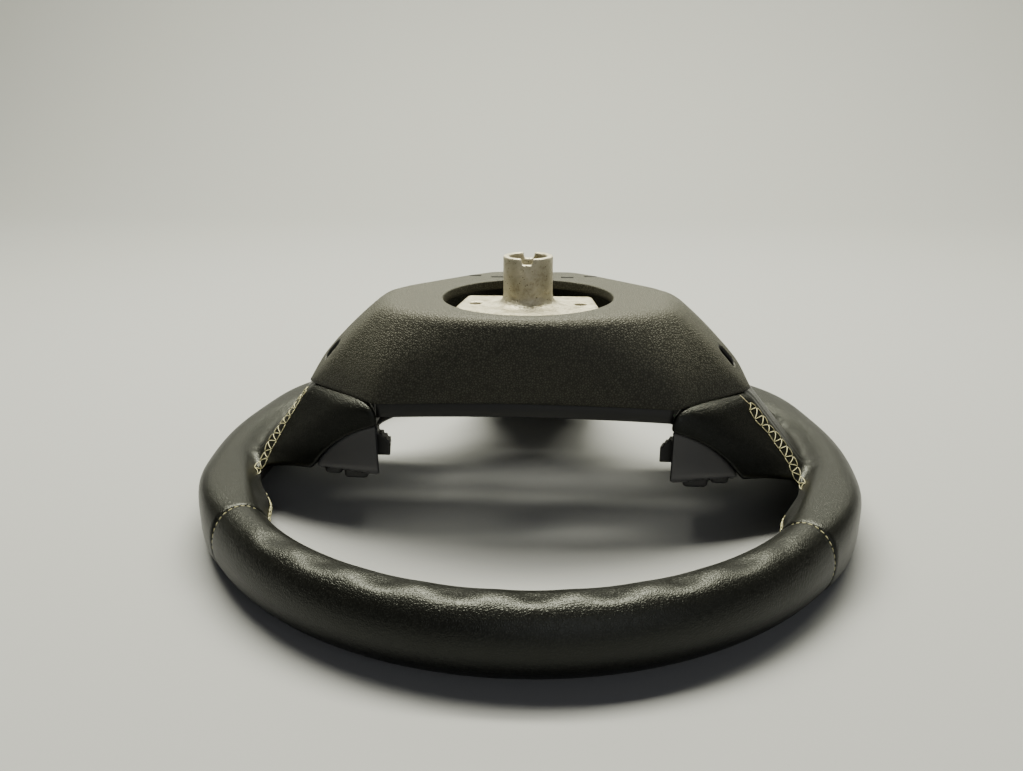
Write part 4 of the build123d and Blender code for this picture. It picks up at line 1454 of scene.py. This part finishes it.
def finishTree(tree, source, entry, leave):
    for kind in ("GeometryNodeRealizeInstances", "GeometryNodeSetShadeSmooth", "GeometryNodeSetMaterial"):
        node = tree.nodes.new(kind)
        feed(tree, source, node.inputs[0])
        source = node.outputs[0]
    feed(tree, entry["Material"], node.inputs["Material"])
    feed(tree, source, leave[0])
    return tree


# thread and wire: a round section along the edges of a mesh
def makeThreadTree():
    tree, entry, leave = newTree("roundAlongPath", ("Radius", "Float", 0.0004), ("Sides", "Int", 6))
    curve = addNode(tree, "GeometryNodeMeshToCurve", Mesh=entry["Geometry"])
    ring = addNode(tree, "GeometryNodeCurvePrimitiveCircle", Resolution=entry["Sides"],
                   Radius=entry["Radius"])
    pipe = addNode(tree, "GeometryNodeCurveToMesh", Curve=curve.outputs["Curve"],
                   Profile_Curve=ring.outputs["Curve"], Fill_Caps=True)
    return finishTree(tree, pipe.outputs["Mesh"], entry, leave)


# short stitches along the edges of a mesh, each a little askew
def makeStitchTree():
    sizes = [("Pitch", "Float", 0.0031), ("Length", "Float", 0.0026), ("Width", "Float", 0.0007)]
    tree, entry, leave = newTree("stitchesAlongPath", *sizes, ("Askew", "Float", 0.12), ("Seed", "Int", 3))
    curve = addNode(tree, "GeometryNodeMeshToCurve", Mesh=entry["Geometry"])
    places = addNode(tree, "GeometryNodeCurveToPoints", mode="LENGTH", Curve=curve.outputs["Curve"],
                     Length=entry["Pitch"])
    bead = addNode(tree, "GeometryNodeMeshIcoSphere", Radius=0.5, Subdivisions=2)
    size = addNode(tree, "ShaderNodeCombineXYZ", X=entry["Width"], Y=entry["Width"], Z=entry["Length"])
    put = addNode(tree, "GeometryNodeInstanceOnPoints", Points=places.outputs["Points"],
                  Instance=bead.outputs["Mesh"], Rotation=places.outputs["Rotation"],
                  Scale=size.outputs["Vector"])
    chance = addNode(tree, "FunctionNodeRandomValue", data_type="FLOAT_VECTOR", Seed=entry["Seed"])
    feed(tree, addMath(tree, "MULTIPLY", entry["Askew"], -1), chance.inputs[0])     # least and most turn
    feed(tree, entry["Askew"], chance.inputs[1])
    turn = addNode(tree, "GeometryNodeRotateInstances", Instances=put.outputs["Instances"],
                   Rotation=chance.outputs[0])
    return finishTree(tree, turn.outputs["Instances"], entry, leave)


# copies of one object at the points of a mesh, each turned by chance about Z
def makeCopyTree():
    inputs = [("Copied", "Object"), ("Turn", "Float", 3.1), ("Seed", "Int", 5)]
    tree, entry, leave = newTree("copiesAtPoints", *inputs)
    source = addNode(tree, "GeometryNodeObjectInfo", Object=entry["Copied"])
    chance = addNode(tree, "FunctionNodeRandomValue", data_type="FLOAT", Seed=entry["Seed"])
    feed(tree, entry["Turn"], chance.inputs[3])     # most of a single value
    spin = addNode(tree, "ShaderNodeCombineXYZ", Z=chance.outputs[1])
    put = addNode(tree, "GeometryNodeInstanceOnPoints", Points=entry["Geometry"],
                  Instance=source.outputs["Geometry"], Rotation=spin.outputs["Vector"])
    return finishTree(tree, put.outputs["Instances"], entry, leave)


threadTree = makeThreadTree()
stitchTree = makeStitchTree()
copyTree = makeCopyTree()


# polylines in mm become one plain mesh through a node tree
def grown(name, lines, tree, material, **values):
    points, edges = [], []
    for line in lines:
        start = len(points)
        points += [tuple(float(v) * mm for v in p) for p in line]
        edges += [(start + i, start + i + 1) for i in range(len(line) - 1)]
    mesh = bpy.data.meshes.new(name)
    mesh.from_pydata(points, edges, [])
    piece = bpy.data.objects.new(name, mesh)
    bpy.context.scene.collection.objects.link(piece)
    grow = piece.modifiers.new(tree.name, "NODES")
    grow.node_group = tree
    values["Material"] = material
    for socket in tree.interface.items_tree:
        if socket.in_out == "INPUT" and socket.name in values:
            grow[socket.identifier] = values[socket.name]
    settled(piece)
    print(name, len(piece.data.polygons), "faces")
    return piece


# sewing

sewing = {
    "leftLace": [(128, -20, 69.5), (134.5, -24, 62), (140, -27, 55), (145, -31.5, 45), (150, -36, 35.5),
                 (152.8, -43, 29), (152.5, -48.5, 27)],
    "rightLace": [(124, -29, 67.3), (134.5, -30.8, 55.4), (144.5, -33, 43.5), (150, -36, 35.5),
                  (152.2, -42, 29.5), (152.7, -49, 27.4)],
    "tail": [(119.5, -26.7, 71.6), (122.5, -28.2, 69.2), (124.5, -28.5, 67.3)],     # loose end on the right
    "tailStep": 1.0,
    # other ridges repeat the left one: its rows past laceStart, times a share, from a row of their own
    "laceStart": 19.0,
    "farLace": (25.0, 0.74),
    "lowerLace": (-29.0, -0.6),
    "lacePitch": 5.6,
    "laceHalf": 3.3,
    "widthScatter": 0.14,   # share by which the widths differ
    "holeScatter": 0.24,
    "crossArch": (0.45, 0.25),      # least, and most added by chance
    "railArch": 0.12,
    "railBow": (0.35, 0.5),
    "dive": 0.6,            # ends of a thread go into the holes
    "thread": 0.22,         # radius
    "threadSides": 6,
    "rimPitch": 4.2,
    "rimHalf": 1.2,
    "rimSeam": -3.0,        # from the middle of the rim towards the front
    "sideSpans": ((-19, -37.4), (19, 39.2)),        # degrees from the spoke's middle line
    "lowerSpans": ((-19, -49), (19, 49)),
    "seamPitch": 3.1,
    "seamLength": 2.2,
    "seamWidth": 0.46,
    "seamSink": 0.6,
    "seamAskew": 0.1,
}


# even points along a smooth line through the given ones
def evenLine(points, step):
    points = np.array(points, float)
    padded = np.concatenate([[2 * points[0] - points[1]], points, [2 * points[-1] - points[-2]]])
    fine = []
    for i in range(len(points) - 1):
        a, b, c, d = padded[i:i + 4]
        for t in np.linspace(0, 1, 16, endpoint=False):
            fine.append(0.5 * (2 * b + (c - a) * t + (2 * a - 5 * b + 4 * c - d) * t ** 2
                               + (3 * b - a - 3 * c + d) * t ** 3))
    fine = np.array(fine + [points[-1]])
    run = np.concatenate([[0], np.cumsum(np.linalg.norm(np.diff(fine, axis=0), axis=1))])
    wanted = np.linspace(0, run[-1], max(2, round(run[-1] / step) + 1))
    return np.stack([np.interp(wanted, run, fine[:, k]) for k in range(3)], 1)


# criss-cross lacing over a seam on a leather form: a zigzag between two rails that loop from hole to hole
def lacing(field, middle, pitch, half, seed):
    chance = np.random.default_rng(seed)
    line = pulledOnto(field, evenLine(middle, pitch / 2))
    across = unit(np.cross(np.gradient(line, axis=0), unit(slopeOf(field, line))))
    last = len(line) - 1
    holes = []
    for i in range(last + 1):
        side = 1 if i % 2 else -1
        narrow = min(1, 0.5 + 0.25 * i, 0.3 + 0.14 * (last - i))        # towards both ends
        width = half * narrow * (1 + sewing["widthScatter"] * chance.normal())
        holes.append(line[i] + across[i] * side * width + chance.normal(0, sewing["holeScatter"], 3))
    holes = pulledOnto(field, np.array(holes))
    threads = []

    def laid(i, j, arch, bow):
        t = np.linspace(0, 1, 8)[:, None]
        side = across[i] * (1 if i % 2 else -1)
        path = holes[i] * (1 - t) + holes[j] * t + side * bow * np.sin(pi * t)
        path = pulledOnto(field, path)
        dive = sewing["dive"] * (np.abs(2 * t - 1) ** 6)
        lift = sewing["thread"] * 0.5 + arch * np.sin(pi * t) - dive
        threads.append(path + unit(slopeOf(field, path)) * lift)

    arch, moreArch = sewing["crossArch"]
    bow, moreBow = sewing["railBow"]
    for i in range(last):
        laid(i, i + 1, arch + moreArch * chance.random(), 0.0)
    for i in range(last - 1):
        laid(i, i + 2, sewing["railArch"], bow + moreBow * chance.random())
    return threads


def seamRing(swell, angle):
    p = np.radians(np.linspace(0, 360, 121))
    swell = swell * swellShare(rimMid + rim["depth"] / 2 * np.sin(p))
    a = (rim["width"] + swell) / 2
    r = rim["radius"] - swell / 2 + (a - sewing["seamSink"]) * np.cos(p)
    z = rimMid + (rim["depth"] / 2 - sewing["seamSink"]) * np.sin(p)
    return np.stack([r * cos(radians(angle)), r * sin(radians(angle)), z], 1)


def rimSeamPath(swell, start, end):
    turn = np.radians(np.linspace(start, end, 24))
    inner = rimInner - np.array([swell(abs(a)) for a in np.degrees(turn)])
    return np.stack([inner * np.cos(turn), inner * np.sin(turn), 0 * turn + rimMid + sewing["rimSeam"]], 1)


# the left ridge's line moved to another ridge
def movedLace(start, share):
    line = np.array(sewing["leftLace"], float)
    line[:, 1] = start + (-line[:, 1] - sewing["laceStart"]) * share
    return line


def makeSewing():
    side = panelField(sideSpoke)
    low = panelField(lowerSpoke)
    pitch, half = sewing["lacePitch"], sewing["laceHalf"]
    rimSizes = (sewing["rimPitch"], sewing["rimHalf"])
    right = lacing(side, sewing["rightLace"], pitch, half, seed=11)
    right.append(pulledOnto(side, evenLine(sewing["tail"], sewing["tailStep"])))
    left = lacing(side, sewing["leftLace"], pitch, half, seed=12)
    both = lacing(side, movedLace(*sewing["farLace"]), pitch, half, seed=13)
    for start, end in sewing["sideSpans"]:
        both += lacing(side, rimSeamPath(rimSwell, start, end), *rimSizes, seed=14)
    lower = movedLace(*sewing["lowerLace"])
    bottom = []
    for k, path in enumerate((lower, lower * (1, -1, 1))):
        bottom += lacing(low, path, pitch, half, seed=15 + k)
    for start, end in sewing["lowerSpans"]:
        bottom += lacing(low, rimSeamPath(lambda a: 0.0, start, end), *rimSizes, seed=17)
    lines = right + both + [line * (-1, 1, 1) for line in left + both]
    lines += [line[:, [1, 0, 2]] for line in bottom]
    thread = grown("ridgeLacing", lines, threadTree, paleThread, Radius=sewing["thread"] * mm,
                   Sides=sewing["threadSides"])
    dressed(thread, "wheel", "leather")
    top, bottomSeam = rim["topSeam"], rim["lowSeam"]
    rings = []
    for sign in (1, -1):
        rings.append(seamRing(float(rimSwell(90 - top)), -90 + sign * top))
        rings.append(seamRing(float(rimSwell(90 - bottomSeam)), 90 + sign * bottomSeam))
    seams = grown("crossSeams", rings, stitchTree, paleThread, Pitch=sewing["seamPitch"] * mm,
                  Length=sewing["seamLength"] * mm, Width=sewing["seamWidth"] * mm,
                  Askew=sewing["seamAskew"], Seed=4)
    dressed(seams, "wheel", "leather")


makeSewing()
print("sewing made")


# springs, screws and socket pins

hardware = {
    "wire": 2.5,
    "wireSides": 14,
    "wireGap": 0.5,
    "wireBend": 3.2,
    "springLevel": 77.2,
    "springNear": 25.0,
    "springStart": 2.0,
    "screwHead": 8.5,
    "screwHeadHeight": 3.0,
    "screwShank": 4.0,
    "screwSides": 24,
    "recess": 1.5,          # depth
    "lobe": 0.3,            # of the recess
    "threadStart": 1.3,     # of a screw
    "threadSpare": 2.5,     # grip without thread
    "threadStep": 0.6,
    "threadDepth": 0.35,
    "screwTurn": 3.1,       # each screw is turned by chance up to this, in radians
    "coverScrews": [(63.0, 6.0), (-63.0, 6.0), (0.0, 63.0)],
    "coverSeat": 94.0,
    "coverGrip": 17.0,
    "switchSeat": 73.5,
    "switchGrip": 11.5,
    "pins": 6,
    "pinSize": (7, 0.8, 0.8),
    "pinInset": 5.0,        # middle of a pin, in from the socket's face
    "pinStart": 3.0,        # first pin, from the socket's near end
    "pinEnds": 15.0,        # socket's length without pins
}


# corners of a path rounded by short arcs
def bentPath(corners, radius):
    corners = [np.array(c, float) for c in corners]
    path = [corners[0]]
    for a, b, c in zip(corners, corners[1:], corners[2:]):
        before, after = np.linalg.norm(a - b), np.linalg.norm(c - b)
        reach = min(radius, before / 2, after / 2)
        for t in np.linspace(0, 1, 7):
            path.append(b + (a - b) / before * reach * (1 - t) ** 2 + (c - b) / after * reach * t ** 2)
    return path + [corners[-1]]


def springLine():
    wire = hardware["wire"]
    bendU, bendZ = sideArmPath()[1]
    nu, nz = flankNormal(cover["top"][1][0], cover["base"][1][0])
    below = arm["thick"] / 2 + wire / 2 + hardware["wireGap"]
    beside = arm["width"] / 2 + wire / 2 + hardware["wireGap"]
    level = hardware["springLevel"] + wire / 2
    lower = (bendZ - level - below * nz) / nu
    upper = below * nu / (1 + nz) + wire / 2 + hardware["springStart"]
    near, far, hook = arm["offset"] - beside, arm["offset"] + beside, arm["thick"] / 2

    def at(along, y, up):
        return (bendU + along * nz + up * nu, y, bendZ - along * nu + up * nz)

    end = -hardware["springNear"]
    corners = [at(upper, far, hook), at(upper, far, -below), at(upper, end, -below), at(lower, end, -below),
               at(lower, near, -below), at(lower, near, hook)]
    return np.array(bentPath(corners, hardware["wireBend"]))


# screw with its head under the seat, six-lobed recess, rings for the thread
def screwTemplate(name, grip):
    head, height, shank = hardware["screwHead"] / 2, hardware["screwHeadHeight"], hardware["screwShank"] / 2
    recess, lobe, step = hardware["recess"], hardware["lobe"], hardware["threadStep"]
    # radius, level and lobe of each ring
    rings = [(0.05, -height + recess, 0), (1.7, -height + recess, lobe), (1.75, -height, lobe),
             (2.6, -height, 0.05), (head - 1.0, -height + 0.15, 0), (head - 0.3, -height + 0.7, 0),
             (head, -height + 1.5, 0), (head, -0.15, 0), (head - 0.2, 0, 0), (shank, 0, 0), (shank, 1.0, 0)]
    for i in range(int((grip - hardware["threadSpare"]) / step)):
        radius = shank if i % 2 else shank - hardware["threadDepth"]
        rings.append((radius, hardware["threadStart"] + i * step, 0))
    rings += [(shank - 0.5, grip - 0.6, 0), (0.6, grip, 0)]
    n = hardware["screwSides"]
    points = []
    for r, z, lobe in rings:
        for a in [2 * pi * i / n for i in range(n)]:
            reach = r + lobe * cos(6 * a)
            points.append((reach * cos(a) * mm, reach * sin(a) * mm, z * mm))
    return meshPiece(name, points, tubeFaces(len(rings), n, "capped"), platedSteel)


def copies(name, template, places, turn, body, slot, *nodes):
    piece = grown(name, [[p] for p in places], copyTree, platedSteel, Copied=template, Turn=turn, Seed=5)
    bpy.data.objects.remove(template)
    dressed(piece, body, slot, *nodes)


def makeHardware():
    line = springLine()
    for side, sign in (("Right", 1), ("Left", -1)):
        wire = grown("airbagSpring" + side, [line * (sign, 1, 1)], threadTree, platedSteel,
                     Radius=hardware["wire"] / 2 * mm, Sides=hardware["wireSides"])
        dressed(wire, "wheel", "steel", "airbag_spring_" + side.lower())
    turn = hardware["screwTurn"]
    seats = [(x, y, hardware["coverSeat"]) for x, y in hardware["coverScrews"]]
    screw = screwTemplate("coverScrew", hardware["coverGrip"])
    copies("coverScrews", screw, seats, turn, "wheel", "steel", "cover_screws")
    x, y = housing["screw"]
    seats = [(sign * x, y, hardware["switchSeat"]) for sign in (1, -1)]
    screw = screwTemplate("switchScrew", hardware["switchGrip"])
    copies("switchScrews", screw, seats, turn, "wheel", "steel", "switch_screws")
    points, faces = boxCutter((0, 0, 0), hardware["pinSize"])
    pin = meshPiece("pin", np.array(points) * mm, faces, platedSteel)
    pin.data.shade_flat()
    socketFace, socketTop = housing["socketSteps"][0]
    face = socketFace + hardware["pinInset"]
    step = (housing["socketLength"] - hardware["pinEnds"]) / (hardware["pins"] - 1)
    level = (housing["socketLow"] + socketTop) / 2
    start = -housing["socketNear"] + hardware["pinStart"]
    places = [(sign * face, start + i * step, level) for sign in (1, -1) for i in range(hardware["pins"])]
    copies("socketPins", pin, places, 0.0, "wheel", "steel")


makeHardware()
print("hardware made")


makeCamera()
makeStage()
